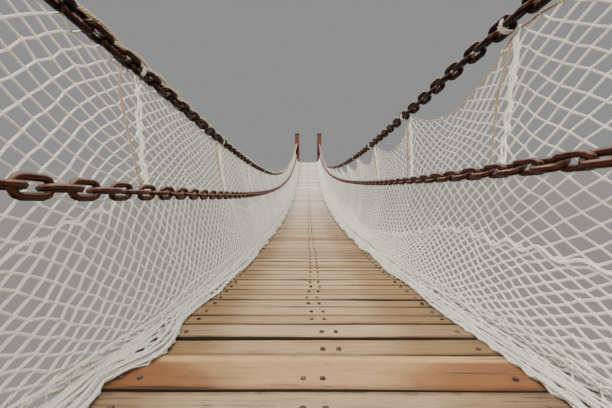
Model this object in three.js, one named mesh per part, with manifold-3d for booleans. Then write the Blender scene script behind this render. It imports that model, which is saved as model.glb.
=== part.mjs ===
// Chain and rope net footbridge, in millimetres, +Z up.
// The walkway runs along Y. The origin is on the ground under its middle, and the near end is at -Y.
// Boards lie on three sagging deck chains. On each side two more chains carry a rope net, which
// closes the side from handrail height down to the board ends. A pair of square posts stands at
// each end, down to the lowest ground that the bridge crosses, with a sill beam between them.
import * as THREE from "three";
import { mergeVertices } from "three/addons/utils/BufferGeometryUtils.js";
import Module from "manifold-3d";

const wasm = await Module();
wasm.setup();

// Driving dimensions
const CHAIN_HALF_SPAN = 9880; // from mid-span to the end of a chain
const DECK_HALF_LENGTH = 9900;
const DECK_END_HEIGHT = 1500; // board tops at both ends, above the ground
const DECK_SAG = 1010;
const DECK_WIDTH = 1080;
const DECK_BAYS = 6;
const BOARDS_PER_BAY = 27;
const BOARD_GAP = 10;
const BOARD_THICKNESS = 38;
const GAP_FLOOR = 8; // wood left under each gap, which joins the boards of a bay

const POST_FRONT = 9960; // face of a post towards the span, from mid-span
const POST_SIZE = 240;
const POST_OFFSET = 630; // post centre from the centre line
const POST_TOP = 3060;
const CAP_SIZE = 268;
const CAP_THICKNESS = 70;
const SILL_HEIGHT = 240;
const LANDING_BOARDS = 2;
const LANDING_CLEARANCE = 10; // between a landing board and the post beside it

const LINK_WIDTH = 56; // outer width of a chain link
const LINK_BAR = 18;
const CHAIN_STEPS = 20; // straight steps in a whole chain or foot rope
const HANDRAIL_ABOVE_DECK = 1040; // chain centre at the posts
const LOWER_CHAIN_ABOVE_DECK = 410;
const HANDRAIL_SAG = { left: 1220, right: 1080 };
const LOWER_CHAIN_SAG = { left: 860, right: 690 };
const HANDRAIL_DRIFT = 90; // both handrail chains stand this much to the left at mid-span
const DECK_CHAIN_OFFSET = 465; // outer deck chains from the centre line

const PANELS = 4; // lengths that the net and the handrail chain of a side are made in
const NET_COLUMNS = 10; // diamonds along one panel
const NET_ROWS = 3;
const NET_BAR = 18;
const NET_BORDER = 40;
const NET_THICKNESS = 14;
const NET_BEHIND_LOWER_CHAIN = 20; // room for the net to bow between its knots
const FOOT_ROPE_RADIUS = 28; // the net's lower edge, gathered into one thick rope
const FOOT_ROPE_OFFSET = 511;

const PLATE_THICKNESS = 12;
const PLATE_MARGIN = 50; // plate left beside a lug
const LUG_WIDTH = 16;
const LUG_HEIGHT = 54;

const SEAT = 0.3; // gap left where two solids touch

// Colours and finishes
const finish = (color, roughness, metalness) =>
  new THREE.MeshStandardMaterial({ color, roughness, metalness });
const RUSTY_CHAIN = finish(0x5a3a2c, 0.75, 0.6);
const DARK_STEEL = finish(0x3f322c, 0.6, 0.7);
const POST_BROWN = finish(0x6b3222, 0.7, 0.1);
const CAP_BROWN = finish(0x4a241a, 0.7, 0.1);
const SILL_WOOD = finish(0x7a6048, 0.85, 0);
const WEATHERED_WOOD = finish(0x9c8068, 0.85, 0);
const NET_ROPE = finish(0xd8d0bc, 0.9, 0);

// Sagging lines, each a height or an offset as a function of the place y along the bridge

const SIDE_SIGN = { left: -1, right: 1 };

// Share of the sag reached: 0 at the ends, 1 at mid-span.
const sagShare = (y, halfSpan) => 1 - (y / halfSpan) ** 2;

const deckTop = (y) => DECK_END_HEIGHT - DECK_SAG * sagShare(y, DECK_HALF_LENGTH);

const handrailHeight = (side, y) =>
  DECK_END_HEIGHT + HANDRAIL_ABOVE_DECK - HANDRAIL_SAG[side] * sagShare(y, CHAIN_HALF_SPAN);

const lowerChainHeight = (side, y) =>
  DECK_END_HEIGHT + LOWER_CHAIN_ABOVE_DECK - LOWER_CHAIN_SAG[side] * sagShare(y, CHAIN_HALF_SPAN);

// Distance of the handrail chain from the centre line, on its own side.
const handrailOffset = (side, y) =>
  POST_OFFSET - SIDE_SIGN[side] * HANDRAIL_DRIFT * sagShare(y, CHAIN_HALF_SPAN);

// A chain drawn in straight steps stands this much above its curve at the middle of a step.
const DECK_CHAIN_RISE = DECK_SAG / CHAIN_STEPS ** 2;

const deckChainHeight = (y) =>
  deckTop(y) - BOARD_THICKNESS - SEAT - DECK_CHAIN_RISE - LINK_WIDTH / 2;

// Helpers

const part = new THREE.Group();

function add(name, geometry, material, parent = part) {
  const mesh = new THREE.Mesh(geometry, material);
  mesh.name = name;
  parent.add(mesh);
  return mesh;
}

const polygon = (points) => new THREE.Shape(points.map(([a, b]) => new THREE.Vector2(a, b)));

// Moves each vertex sideways and up by what shiftAt gives for its place.
function bend(geometry, shiftAt) {
  const place = geometry.getAttribute("position");
  for (let i = 0; i < place.count; i++) {
    const [x, z] = shiftAt(place.getY(i), place.getZ(i));
    place.setXYZ(i, place.getX(i) + x, place.getY(i), place.getZ(i) + z);
  }
  return geometry;
}

// Extrudes an outline drawn in the XZ plane along the bridge, bent to follow placeAt(y).
function alongBridge(shape, from, to, placeAt) {
  const depth = to - from;
  const steps = Math.round((CHAIN_STEPS * depth) / (2 * CHAIN_HALF_SPAN));
  const straight = new THREE.ExtrudeGeometry(shape, { depth, steps, bevelEnabled: false });
  return bend(straight.rotateX(Math.PI / 2).translate(0, to, 0), placeAt);
}

// Extrudes an outline drawn in the YZ plane along X, over the given width about x = 0.
function acrossBridge(shape, width) {
  const geometry = new THREE.ExtrudeGeometry(shape, { depth: width, bevelEnabled: false });
  const toBridge = new THREE.Matrix4().makeBasis(
    new THREE.Vector3(0, 1, 0),
    new THREE.Vector3(0, 0, 1),
    new THREE.Vector3(1, 0, 0),
  );
  return geometry.applyMatrix4(toBridge).translate(-width / 2, 0, 0);
}

// One closed geometry from several that overlap.
function join(geometries) {
  const solids = geometries.map((geometry) => {
    const bare = geometry.clone().deleteAttribute("normal").deleteAttribute("uv");
    const merged = mergeVertices(bare);
    const vertProperties = merged.getAttribute("position").array;
    const triVerts = new Uint32Array(merged.index.array);
    return new wasm.Manifold(new wasm.Mesh({ numProp: 3, vertProperties, triVerts }));
  });
  const mesh = solids.reduce((all, solid) => all.add(solid)).getMesh();
  const joined = new THREE.BufferGeometry();
  joined.setAttribute("position", new THREE.BufferAttribute(mesh.vertProperties, 3));
  return joined.setIndex(new THREE.BufferAttribute(mesh.triVerts, 1));
}

// Chains

// A cross-shaped outline stands for links that stand and lie in turn.
function linkOutline() {
  const far = LINK_WIDTH / 2;
  const near = LINK_BAR / 2;
  return polygon([
    [near, near], [near, far], [-near, far], [-near, near],
    [-far, near], [-far, -near], [-near, -near], [-near, -far],
    [near, -far], [near, -near], [far, -near], [far, near],
  ]);
}

function addChain(name, placeAt, from = -CHAIN_HALF_SPAN, to = CHAIN_HALF_SPAN) {
  add(name, alongBridge(linkOutline(), from, to, placeAt), RUSTY_CHAIN);
}

for (const [side, sign] of Object.entries(SIDE_SIGN)) {
  addChain(`${side}_lower_chain`, (y) => [sign * POST_OFFSET, lowerChainHeight(side, y)]);
  addChain(`${side}_deck_chain`, (y) => [sign * DECK_CHAIN_OFFSET, deckChainHeight(y)]);
}
addChain("middle_deck_chain", (y) => [0, deckChainHeight(y)]);

// Boards

// Side view of a run of boards: flat tops with a groove between neighbours, on a closed underside.
function boardRun(from, to, count, topAt) {
  const pitch = (to - from) / count;
  const grooveDepth = BOARD_THICKNESS - GAP_FLOOR;
  const tops = [];
  const underside = [];
  for (let i = 0; i < count; i++) {
    const start = from + i * pitch + BOARD_GAP / 2;
    const end = start + pitch - BOARD_GAP;
    if (i > 0) tops.push([start, topAt(start) - grooveDepth]);
    tops.push([start, topAt(start)], [end, topAt(end)]);
    if (i < count - 1) tops.push([end, topAt(end) - grooveDepth]);
    underside.push([start, topAt(start) - BOARD_THICKNESS], [end, topAt(end) - BOARD_THICKNESS]);
  }
  return polygon([...underside, ...tops.reverse()]);
}

const bayLength = (2 * DECK_HALF_LENGTH) / DECK_BAYS;
for (let bay = 0; bay < DECK_BAYS; bay++) {
  const from = -DECK_HALF_LENGTH + bay * bayLength;
  const boards = boardRun(from, from + bayLength, BOARDS_PER_BAY, deckTop);
  add(`deck_bay_${bay + 1}`, acrossBridge(boards, DECK_WIDTH), WEATHERED_WOOD);
}

// Nets and handrail chains

// Distance of a net's inner face from the centre line at height z. Between the foot rope and the
// head it is the parabola through the foot, the lower chain and the handrail chain.
function netOffset(side, y, z) {
  const foot = { at: deckTop(y), offset: FOOT_ROPE_OFFSET + FOOT_ROPE_RADIUS + SEAT };
  const middle = {
    at: lowerChainHeight(side, y),
    offset: POST_OFFSET + LINK_WIDTH / 2 + NET_BEHIND_LOWER_CHAIN,
  };
  const head = {
    at: handrailHeight(side, y),
    offset: handrailOffset(side, y) + LINK_WIDTH / 2 + SEAT,
  };
  if (z <= foot.at + 2 * FOOT_ROPE_RADIUS) return foot.offset;
  if (z >= head.at - NET_BORDER) return head.offset;
  const term = (a, b, c) => (a.offset * (z - b.at) * (z - c.at)) / ((a.at - b.at) * (a.at - c.at));
  return term(foot, middle, head) + term(middle, foot, head) + term(head, foot, middle);
}

// Polygons that tile a diamond lattice with a border along its head and foot. They are drawn on
// a grid of half diamonds: one diagonal bar crosses each cell, and the knots are where column and
// row add up to an odd number.
function latticeTiles() {
  const cellWidth = CHAIN_HALF_SPAN / PANELS / NET_COLUMNS;
  const cellHeight = HANDRAIL_ABOVE_DECK / NET_ROWS / 2;
  const c = ((NET_BAR / 2) * Math.hypot(cellWidth, cellHeight)) / (cellWidth * cellHeight);
  const top = 2 * NET_ROWS;
  const tiles = [];
  for (let i = 0; i < 2 * NET_COLUMNS; i++) {
    for (let j = 0; j < top; j++) {
      tiles.push(
        (i + j) % 2
          ? [[i, j], [i + c, j], [i + 1, j + 1 - c], [i + 1, j + 1], [i + 1 - c, j + 1], [i, j + c]]
          : [[i + 1 - c, j], [i + 1, j], [i + 1, j + c], [i + c, j + 1], [i, j + 1], [i, j + 1 - c]],
      );
    }
    const barEdge = i % 2 ? i + c : i + 1 - c;
    tiles.push([[i, -1], [i + 1, -1], [i + 1, 0], [barEdge, 0], [i, 0]]);
    tiles.push([[i, top + 1], [i, top], [barEdge, top], [i + 1, top], [i + 1, top + 1]]);
  }
  return tiles;
}

// One closed slab from tiles that meet edge to edge. place(point, layer) gives a corner's place,
// on layer 0 with the lower x or on layer 1 with the higher x. Edges of one tile only get a wall.
function slab(tiles, place) {
  const corners = [];
  const addFan = (first, ...others) => {
    for (let k = 1; k < others.length; k++) corners.push(...first, ...others[k - 1], ...others[k]);
  };
  const openEdges = new Map();
  for (const tile of tiles) {
    addFan(...tile.map((p) => place(p, 1)));
    const [first, ...others] = tile.map((p) => place(p, 0));
    addFan(first, ...others.reverse());
    tile.forEach((p, k) => {
      const q = tile[(k + 1) % tile.length];
      if (!openEdges.delete(`${q} ${p}`)) openEdges.set(`${p} ${q}`, [p, q]);
    });
  }
  for (const [p, q] of openEdges.values()) {
    addFan(place(p, 1), place(p, 0), place(q, 0), place(q, 1));
  }
  const geometry = new THREE.BufferGeometry();
  return geometry.setAttribute("position", new THREE.Float32BufferAttribute(corners, 3));
}

function netPanel(side, from, to) {
  const top = 2 * NET_ROWS;
  return slab(latticeTiles(), ([i, j], layer) => {
    const y = from + ((to - from) * i) / (2 * NET_COLUMNS);
    const foot = deckTop(y) + FOOT_ROPE_RADIUS + NET_BORDER / 2;
    const head = handrailHeight(side, y) - NET_BORDER / 2;
    const inside = Math.min(Math.max(j, 0), top);
    const z = foot + ((head - foot) * inside) / top + (j - inside) * NET_BORDER;
    const middle = netOffset(side, y, z) + NET_THICKNESS / 2;
    return [SIDE_SIGN[side] * middle + (layer - 0.5) * NET_THICKNESS, y, z];
  });
}

// The net's lower edge, with flats at its sides, top and underside.
function footRopeOutline() {
  const sides = 8;
  const corner = FOOT_ROPE_RADIUS / Math.cos(Math.PI / sides);
  const angles = Array.from({ length: sides }, (_, i) => ((i + 0.5) * 2 * Math.PI) / sides);
  return polygon(angles.map((a) => [corner * Math.cos(a), corner * Math.sin(a)]));
}

const panelLength = (2 * CHAIN_HALF_SPAN) / PANELS;
for (const [side, sign] of Object.entries(SIDE_SIGN)) {
  const onNetHead = (y) => [sign * handrailOffset(side, y), handrailHeight(side, y)];
  for (let panel = 0; panel < PANELS; panel++) {
    const from = -CHAIN_HALF_SPAN + panel * panelLength + SEAT / 2;
    const to = from + panelLength - SEAT;
    addChain(`${side}_handrail_chain_${panel + 1}`, onNetHead, from, to);
    add(`${side}_net_${panel + 1}`, netPanel(side, from, to), NET_ROPE);
  }
  const onBoards = (y) => [sign * FOOT_ROPE_OFFSET, deckTop(y) + FOOT_ROPE_RADIUS + SEAT];
  const footRope = alongBridge(footRopeOutline(), -CHAIN_HALF_SPAN, CHAIN_HALF_SPAN, onBoards);
  add(`${side}_foot_rope`, footRope, NET_ROPE);
}

// End frames

const SILL_TOP = DECK_END_HEIGHT - BOARD_THICKNESS - SEAT;
const betweenPosts = 2 * POST_OFFSET - POST_SIZE;
const postMiddle = POST_FRONT + POST_SIZE / 2;

// A plate whose back is at y = 0, with lugs that reach to the ends of the chains they hold.
// lugs holds the lugs' places [x, z] on the plate.
function lugPlate(lugs) {
  const [across, up] = [0, 1].map((axis) => {
    const places = lugs.map((lug) => lug[axis]);
    const [low, high] = [Math.min(...places), Math.max(...places)];
    return { middle: (low + high) / 2, spread: high - low };
  });
  const width = across.spread + LUG_WIDTH + 2 * PLATE_MARGIN;
  const plate = new THREE.BoxGeometry(width, PLATE_THICKNESS, up.spread + LUG_HEIGHT);
  plate.translate(across.middle, -PLATE_THICKNESS / 2, up.middle);
  const reach = POST_FRONT - SEAT - (CHAIN_HALF_SPAN + SEAT);
  const eyes = lugs.map(([x, z]) =>
    new THREE.BoxGeometry(LUG_WIDTH, reach, LUG_HEIGHT).translate(x, -reach / 2, z),
  );
  return join([plate, ...eyes]);
}

for (const end of ["near", "far"]) {
  // Both ends are alike: the near one is the far one turned about.
  const frame = new THREE.Group();
  frame.rotation.z = end === "near" ? Math.PI : 0;
  part.add(frame);

  const sill = new THREE.BoxGeometry(betweenPosts - 2 * SEAT, POST_SIZE, SILL_HEIGHT);
  add(`${end}_sill`, sill, SILL_WOOD, frame).position.set(0, postMiddle, SILL_TOP - SILL_HEIGHT / 2);

  const boards = boardRun(DECK_HALF_LENGTH, POST_FRONT + POST_SIZE, LANDING_BOARDS, () => DECK_END_HEIGHT);
  add(`${end}_landing`, acrossBridge(boards, betweenPosts - 2 * LANDING_CLEARANCE), WEATHERED_WOOD, frame);

  const deckLugs = [-DECK_CHAIN_OFFSET, 0, DECK_CHAIN_OFFSET].map((x) => [x, 0]);
  const deckPlate = add(`${end}_deck_chain_plate`, lugPlate(deckLugs), DARK_STEEL, frame);
  deckPlate.position.set(0, POST_FRONT - SEAT, deckChainHeight(CHAIN_HALF_SPAN));

  for (const [side, sign] of Object.entries(SIDE_SIGN)) {
    const x = (end === "near" ? -sign : sign) * POST_OFFSET;
    const post = new THREE.BoxGeometry(POST_SIZE, POST_SIZE, POST_TOP);
    add(`${end}_${side}_post`, post, POST_BROWN, frame).position.set(x, postMiddle, POST_TOP / 2);

    const cap = new THREE.BoxGeometry(CAP_SIZE, CAP_SIZE, CAP_THICKNESS);
    const capMiddle = POST_TOP + SEAT + CAP_THICKNESS / 2;
    add(`${end}_${side}_cap`, cap, CAP_BROWN, frame).position.set(x, postMiddle, capMiddle);

    const sideLugs = [[0, 0], [0, HANDRAIL_ABOVE_DECK - LOWER_CHAIN_ABOVE_DECK]];
    const plate = add(`${end}_${side}_chain_plate`, lugPlate(sideLugs), DARK_STEEL, frame);
    plate.position.set(x, POST_FRONT - SEAT, DECK_END_HEIGHT + LOWER_CHAIN_ABOVE_DECK);
  }
}

export default part;
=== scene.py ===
"""Looks of the chain and rope net footbridge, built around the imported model.

The file is laid out as an add-on and is run as a script. Sizes are in metres. The bridge runs
along Y, with its near end at -Y, and stands on the ground at z = 0.
"""

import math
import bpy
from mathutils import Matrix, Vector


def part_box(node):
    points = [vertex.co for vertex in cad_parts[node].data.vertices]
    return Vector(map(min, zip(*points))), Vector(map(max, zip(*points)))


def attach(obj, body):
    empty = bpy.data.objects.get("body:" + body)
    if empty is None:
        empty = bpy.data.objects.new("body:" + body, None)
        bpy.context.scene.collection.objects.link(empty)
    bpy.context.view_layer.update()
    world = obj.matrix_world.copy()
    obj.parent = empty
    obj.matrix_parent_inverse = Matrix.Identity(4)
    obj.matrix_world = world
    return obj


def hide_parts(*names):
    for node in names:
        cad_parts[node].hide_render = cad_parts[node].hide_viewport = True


bl_info = {
    "name": "Chain and rope net footbridge",
    "version": (1, 0, 0),
    "blender": (4, 5, 0),
    "location": "3D View > Sidebar > Footbridge",
    "description": "Boards, chains, rope nets and end posts of a sagging footbridge",
    "category": "Add Mesh",
}

import bpy
import numpy as np
from bpy.props import FloatProperty, FloatVectorProperty, IntProperty, PointerProperty

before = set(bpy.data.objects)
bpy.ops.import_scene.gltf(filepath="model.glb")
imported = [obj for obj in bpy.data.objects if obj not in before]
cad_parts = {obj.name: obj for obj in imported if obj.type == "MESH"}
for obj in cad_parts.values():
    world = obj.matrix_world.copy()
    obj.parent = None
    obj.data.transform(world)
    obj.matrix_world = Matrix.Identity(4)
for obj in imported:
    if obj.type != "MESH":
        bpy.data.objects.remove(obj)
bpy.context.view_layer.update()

SIDES = {"left": -1, "right": 1}
ENDS = {"near": -1, "far": 1}
BAYS = 6
PANELS = 4
DECK_CHAINS = ("left", "middle", "right")


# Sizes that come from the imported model

LINK_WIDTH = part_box("middle_deck_chain")[1].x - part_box("middle_deck_chain")[0].x
BOARD_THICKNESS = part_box("far_landing")[1].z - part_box("far_landing")[0].z
CHAIN_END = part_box("middle_deck_chain")[1].y
FOOT_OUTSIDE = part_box("right_foot_rope")[1].x


def box_middle(node):
    """Middle of a node's box, as x, y and z."""
    low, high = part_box(node)
    return [(a + b) / 2 for a, b in zip(low, high)]


def line_ends(end_node, middle_node):
    """Height of a side chain's ends and its sag, from its nodes at one end and at mid-span."""
    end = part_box(end_node)[1].z - LINK_WIDTH / 2
    return end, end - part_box(middle_node)[0].z - LINK_WIDTH / 2


POST_OFFSET = box_middle("far_right_post")[0]
HANDRAIL_END, LEFT_HANDRAIL_SAG = line_ends("left_handrail_chain_4", "left_handrail_chain_2")
RIGHT_HANDRAIL_SAG = line_ends("right_handrail_chain_4", "right_handrail_chain_2")[1]
LOWER_END, LEFT_LOWER_SAG = line_ends("left_lower_chain", "left_lower_chain")
RIGHT_LOWER_SAG = line_ends("right_lower_chain", "right_lower_chain")[1]
DECK_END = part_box("far_landing")[1].z
DECK_SAG = DECK_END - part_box("deck_bay_3")[0].z - BOARD_THICKNESS
HANDRAIL_DRIFT = POST_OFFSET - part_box("right_handrail_chain_2")[0].x - LINK_WIDTH / 2

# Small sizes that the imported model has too: between boards and deck chains, half a net, how far a
# net stands behind the lower chain and off a piece that it touches, and the plates
BOARD_TO_CHAIN = 0.003
NET_HALF_THICKNESS = 0.007
NET_BEHIND_CHAIN = 0.020
SEAT = 0.0003
PLATE_THICKNESS = 0.012

# How far beyond the chains' ends a shackle's pin stands, and how far before them the nets, the last
# U-bolt and the last lashing do
SHACKLE_REACH = 0.022
NET_MARGIN = 0.004
END_MARGIN = 0.03
POST_MARGIN = 0.12

# Height of the wall's foot above the boards, and the lengths at foot and head in which it is upright
FOOT_RISE = 0.024
UPRIGHT_FOOT = 0.05
UPRIGHT_HEAD = 0.04

LANDING_BOARDS = 2


# Settings

def length(name, description, default):
    return FloatProperty(name=name, description=description, default=default, unit="LENGTH")


def rows(name, description, default):
    return IntProperty(name=name, description=description, default=default, min=2)


def colour(name, description, default):
    return FloatVectorProperty(
        name=name, description=description, default=default, subtype="COLOR", min=0, max=1)


class SpanSettings(bpy.types.PropertyGroup):
    """Sagging lines that the whole bridge follows"""

    half_span: length("Half span", "From mid-span to a chain's end", CHAIN_END)
    deck_half_length: length("Half deck", "From mid-span to the last board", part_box("deck_bay_6")[1].y)
    deck_end: length("Deck height", "Board tops at both ends, above the ground", DECK_END)
    deck_sag: length("Deck sag", "Drop of the board tops at mid-span", DECK_SAG)
    handrail_end: length("Handrail height", "Handrail chains at the posts", HANDRAIL_END)
    left_handrail_sag: length("Left handrail sag", "Drop at mid-span", LEFT_HANDRAIL_SAG)
    right_handrail_sag: length("Right handrail sag", "Drop at mid-span", RIGHT_HANDRAIL_SAG)
    lower_end: length("Lower chain height", "Lower side chains at the posts", LOWER_END)
    left_lower_sag: length("Left lower sag", "Drop at mid-span", LEFT_LOWER_SAG)
    right_lower_sag: length("Right lower sag", "Drop at mid-span", RIGHT_LOWER_SAG)
    near_sag_place: length("Near sag place", "Middle of an extra drop, from mid-span", -8.0)
    near_handrail_sag: length("Near handrail sag", "Extra drop before the first ties", 0.020)
    near_lower_sag: length("Near lower sag", "Extra drop of the left lower chain there", 0.008)
    drift: length("Handrail drift", "Both handrails stand this much to -X at mid-span", HANDRAIL_DRIFT)
    post_offset: length("Post offset", "Post centre from the centre line", POST_OFFSET)


class BoardSettings(bpy.types.PropertyGroup):
    """Boards of the walkway and the bolts that hold them"""

    width: length("Board width", "Mean distance from one board to the next", 0.119)
    thickness: length("Board thickness", "Thickness of a deck board", BOARD_THICKNESS)
    arris: length("Worn edge", "Width of the worn edge of a board", 0.004)
    tight_gap: length("Tight gap", "Width of most gaps", 0.006)
    wide_gap: length("Wide gap", "Width of the open gaps", 0.017)
    leg_spacing: length("U-bolt width", "Between the legs of a U-bolt", 0.046)
    rod: length("U-bolt rod", "Diameter of a U-bolt's rod", 0.008)


class ChainSettings(bpy.types.PropertyGroup):
    """Links of the chains"""

    link_width: length("Link width", "Outer width of a side chain's link", LINK_WIDTH + 0.005)
    bar: length("Link bar", "Diameter of a handrail chain's bar", 0.0205)
    left_lower_bar: length("Left lower bar", "Diameter of its links' bar", 0.018)
    right_lower_bar: length("Right lower bar", "Diameter of its links' bar", 0.0212)
    left_handrail_pitch: length("Left handrail pitch", "Inner length of its links", 0.084)
    right_handrail_pitch: length("Right handrail pitch", "Inner length of its links", 0.084)
    left_lower_pitch: length("Left lower pitch", "Inner length of its links", 0.0826)
    right_lower_pitch: length("Right lower pitch", "Inner length of its links", 0.084)
    deck_bar: length("Deck chain bar", "Diameter of a deck chain's bar", 0.018)


class NetSettings(bpy.types.PropertyGroup):
    """Rope nets and their ropes"""

    left_upper_mesh: length("Left upper mesh", "Length of a diamond above the lacing", 0.092)
    left_lower_mesh: length("Left lower mesh", "Length of a diamond below the lacing", 0.069)
    right_upper_mesh: length("Right upper mesh", "Length of a diamond above the lacing", 0.088)
    right_lower_mesh: length("Right lower mesh", "Length of a diamond below the lacing", 0.072)
    left_upper_rows: rows("Left upper rows", "Rows above the lacing", 22)
    left_lower_rows: rows("Left lower rows", "Rows from the boards to the lacing", 18)
    right_upper_rows: rows("Right upper rows", "Rows above the lacing", 25)
    right_lower_rows: rows("Right lower rows", "Rows from the boards to the lacing", 20)
    foot_rows: rows("Foot rows", "Rows gathered on the boards", 9)
    strand: length("Strand", "Diameter of a net strand", 0.0070)
    knot: length("Knot", "Width of a knot in the net", 0.0148)
    rope: length("Rope", "Diameter of the head, hanger and lacing ropes", 0.010)
    left_scallop: length("Left scallop", "Drop of the left net's head between two lashings", 0.015)
    right_scallop: length("Right scallop", "Drop of the right net's head between two lashings", 0.13)


class FinishSettings(bpy.types.PropertyGroup):
    """Colours of the materials"""

    board: colour("Board", "Weathered board", (0.295, 0.178, 0.076))
    board_pale: colour("Worn board", "Worn or bleached board", (0.545, 0.378, 0.226))
    # Paler colour that the boards take on towards the far end
    board_far_pale: colour("Bleached board", "Sun-bleached board towards the far end", (0.95, 0.87, 0.78))
    board_new: colour("Newer board", "Board that has kept its colour", (0.56, 0.345, 0.155))
    board_stain: colour("Stained board", "Reddish stain near the board ends", (0.26, 0.085, 0.024))
    # Dirt in grain and edges, and the painted shade on the boards' side faces in the gaps
    board_dirt_and_shade: colour("Dirt", "Dirt in grain and edges", (0.036, 0.023, 0.015))
    rust: colour("Rust", "Red-brown rust", (0.040, 0.0105, 0.0038))
    dark_rust: colour("Dark rust", "Dark brown scale", (0.0040, 0.0014, 0.0008))
    # Pinkish dust on steel that faces up, which also serves as its painted highlight
    worn_steel_and_highlight: colour("Worn steel", "Rubbed steel with a pinkish dust", (0.31, 0.185, 0.150))
    bolt: colour("Bolt", "Dull grey bolts", (0.150, 0.118, 0.090))
    rope: colour("Rope", "Clean net rope", (0.90, 0.87, 0.79))
    rope_soil: colour("Soiled rope", "Net rope where dirt collects", (0.46, 0.37, 0.27))
    tan_rope: colour("Tan rope", "Older rope on the handrails", (0.54, 0.41, 0.27))
    post: colour("Post", "Red-brown stained timber", (0.105, 0.032, 0.017))
    post_worn: colour("Worn post", "Timber where the stain has gone", (0.12, 0.088, 0.066))
    cap: colour("Cap", "Dark stained timber", (0.035, 0.014, 0.009))
    floor: colour("Floor", "Plain pale floor", (0.165, 0.163, 0.157))


class FootbridgeSettings(bpy.types.PropertyGroup):
    """All sizes and colours of the footbridge"""

    span: PointerProperty(type=SpanSettings)
    boards: PointerProperty(type=BoardSettings)
    chains: PointerProperty(type=ChainSettings)
    nets: PointerProperty(type=NetSettings)
    finish: PointerProperty(type=FinishSettings)


# Sagging lines

class Lines:
    """Heights and offsets of the bridge's lines, as functions of the place y along it."""

    def __init__(self, span):
        self.span = span

    def share(self, y, half):
        """Share of the sag reached: one less the square of y over half the span."""
        return 1 - (y / half) ** 2

    def deck(self, y):
        """Height of the board tops: the end height less the sag's share."""
        return self.span.deck_end - self.span.deck_sag * self.share(y, self.span.deck_half_length)

    def deck_slope(self, y):
        """Rise of the deck per metre: the derivative of its height."""
        return 2 * self.span.deck_sag * y / self.span.deck_half_length ** 2

    def deck_chain(self, y):
        """Centre height of the deck chains, which hang just under the boards."""
        return self.deck(y) - BOARD_THICKNESS - BOARD_TO_CHAIN - LINK_WIDTH / 2

    def near_sag(self, y):
        """Share of the small extra sag before the first ties: a squared cosine, which reaches one
        metre to each side of its middle."""
        return np.cos(np.pi / 2 * np.clip(y - self.span.near_sag_place, -1, 1)) ** 2

    def handrail(self, side, y):
        """(x, z) of a handrail chain."""
        share = self.share(y, self.span.half_span)
        sag = getattr(self.span, f"{side}_handrail_sag")
        x = SIDES[side] * self.span.post_offset - self.span.drift * share
        z = self.span.handrail_end - sag * share - self.span.near_handrail_sag * self.near_sag(y)
        return x, z

    def lower(self, side, y):
        """(x, z) of a lower side chain. Only the left one has the extra sag."""
        sag = getattr(self.span, f"{side}_lower_sag")
        z = self.span.lower_end - sag * self.share(y, self.span.half_span)
        if side == "left":
            z = z - self.span.near_lower_sag * self.near_sag(y)
        return np.full_like(z, SIDES[side] * self.span.post_offset), z

    def net(self, side, y, z):
        """Distance of a net's middle from the centre line at height z: the parabola through the
        foot rope, a line behind the lower chain, and the handrail chain's outer side."""
        foot_z = self.deck(y)
        middle_z = self.lower(side, y)[1]
        head_x, head_z = self.handrail(side, y)
        foot = FOOT_OUTSIDE + SEAT + NET_HALF_THICKNESS
        middle = self.span.post_offset + LINK_WIDTH / 2 + NET_BEHIND_CHAIN + NET_HALF_THICKNESS
        head = SIDES[side] * head_x + LINK_WIDTH / 2 + NET_HALF_THICKNESS
        level = np.clip(z, foot_z + UPRIGHT_FOOT, head_z - UPRIGHT_HEAD)

        def term(value, own, first, second):
            return value * (level - first) * (level - second) / ((own - first) * (own - second))

        return (term(foot, foot_z, middle_z, head_z) + term(middle, middle_z, foot_z, head_z)
                + term(head, head_z, foot_z, middle_z))


# Shapes as whole arrays

class Shape:
    """Vertices, faces in arrays of one corner count each, a UV for each face corner, and two numbers
    for each vertex: its lot tells one copy from another, and its stain how discoloured it is."""

    def __init__(self, verts, faces, uvs=None, lot=None, stain=None):
        self.verts = np.asarray(verts, float).reshape(-1, 3)
        self.faces = faces
        self.uvs = uvs if uvs is not None else [np.zeros(f.shape + (2,)) for f in faces]
        self.lot = np.zeros(len(self.verts)) if lot is None else np.asarray(lot, float)
        self.stain = np.zeros(len(self.verts)) if stain is None else np.asarray(stain, float)

    def copies(self, axes, places, lots=None):
        """The shape at many places: each vertex's three numbers times a copy's three axes, plus
        its place."""
        count, size = len(places), len(self.verts)
        verts = np.einsum("vj,njk->nvk", self.verts, axes) + places[:, None, :]
        shift = (np.arange(count) * size)[:, None, None]
        faces = [(f[None] + shift).reshape(-1, f.shape[1]) for f in self.faces]
        uvs = [np.tile(u, (count, 1, 1)) for u in self.uvs]
        lots = np.zeros(count) if lots is None else lots
        return Shape(verts, faces, uvs, np.repeat(lots, size))


def together(shapes):
    """One shape from several."""
    shifts = np.cumsum([0] + [len(s.verts) for s in shapes[:-1]])
    faces = [f + shift for s, shift in zip(shapes, shifts) for f in s.faces]
    return Shape(
        np.concatenate([s.verts for s in shapes]), faces, [u for s in shapes for u in s.uvs],
        np.concatenate([s.lot for s in shapes]), np.concatenate([s.stain for s in shapes]))


def unit(vectors):
    """Vectors of length one with the same directions."""
    return vectors / np.maximum(np.linalg.norm(vectors, axis=-1, keepdims=True), 1e-12)


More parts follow.
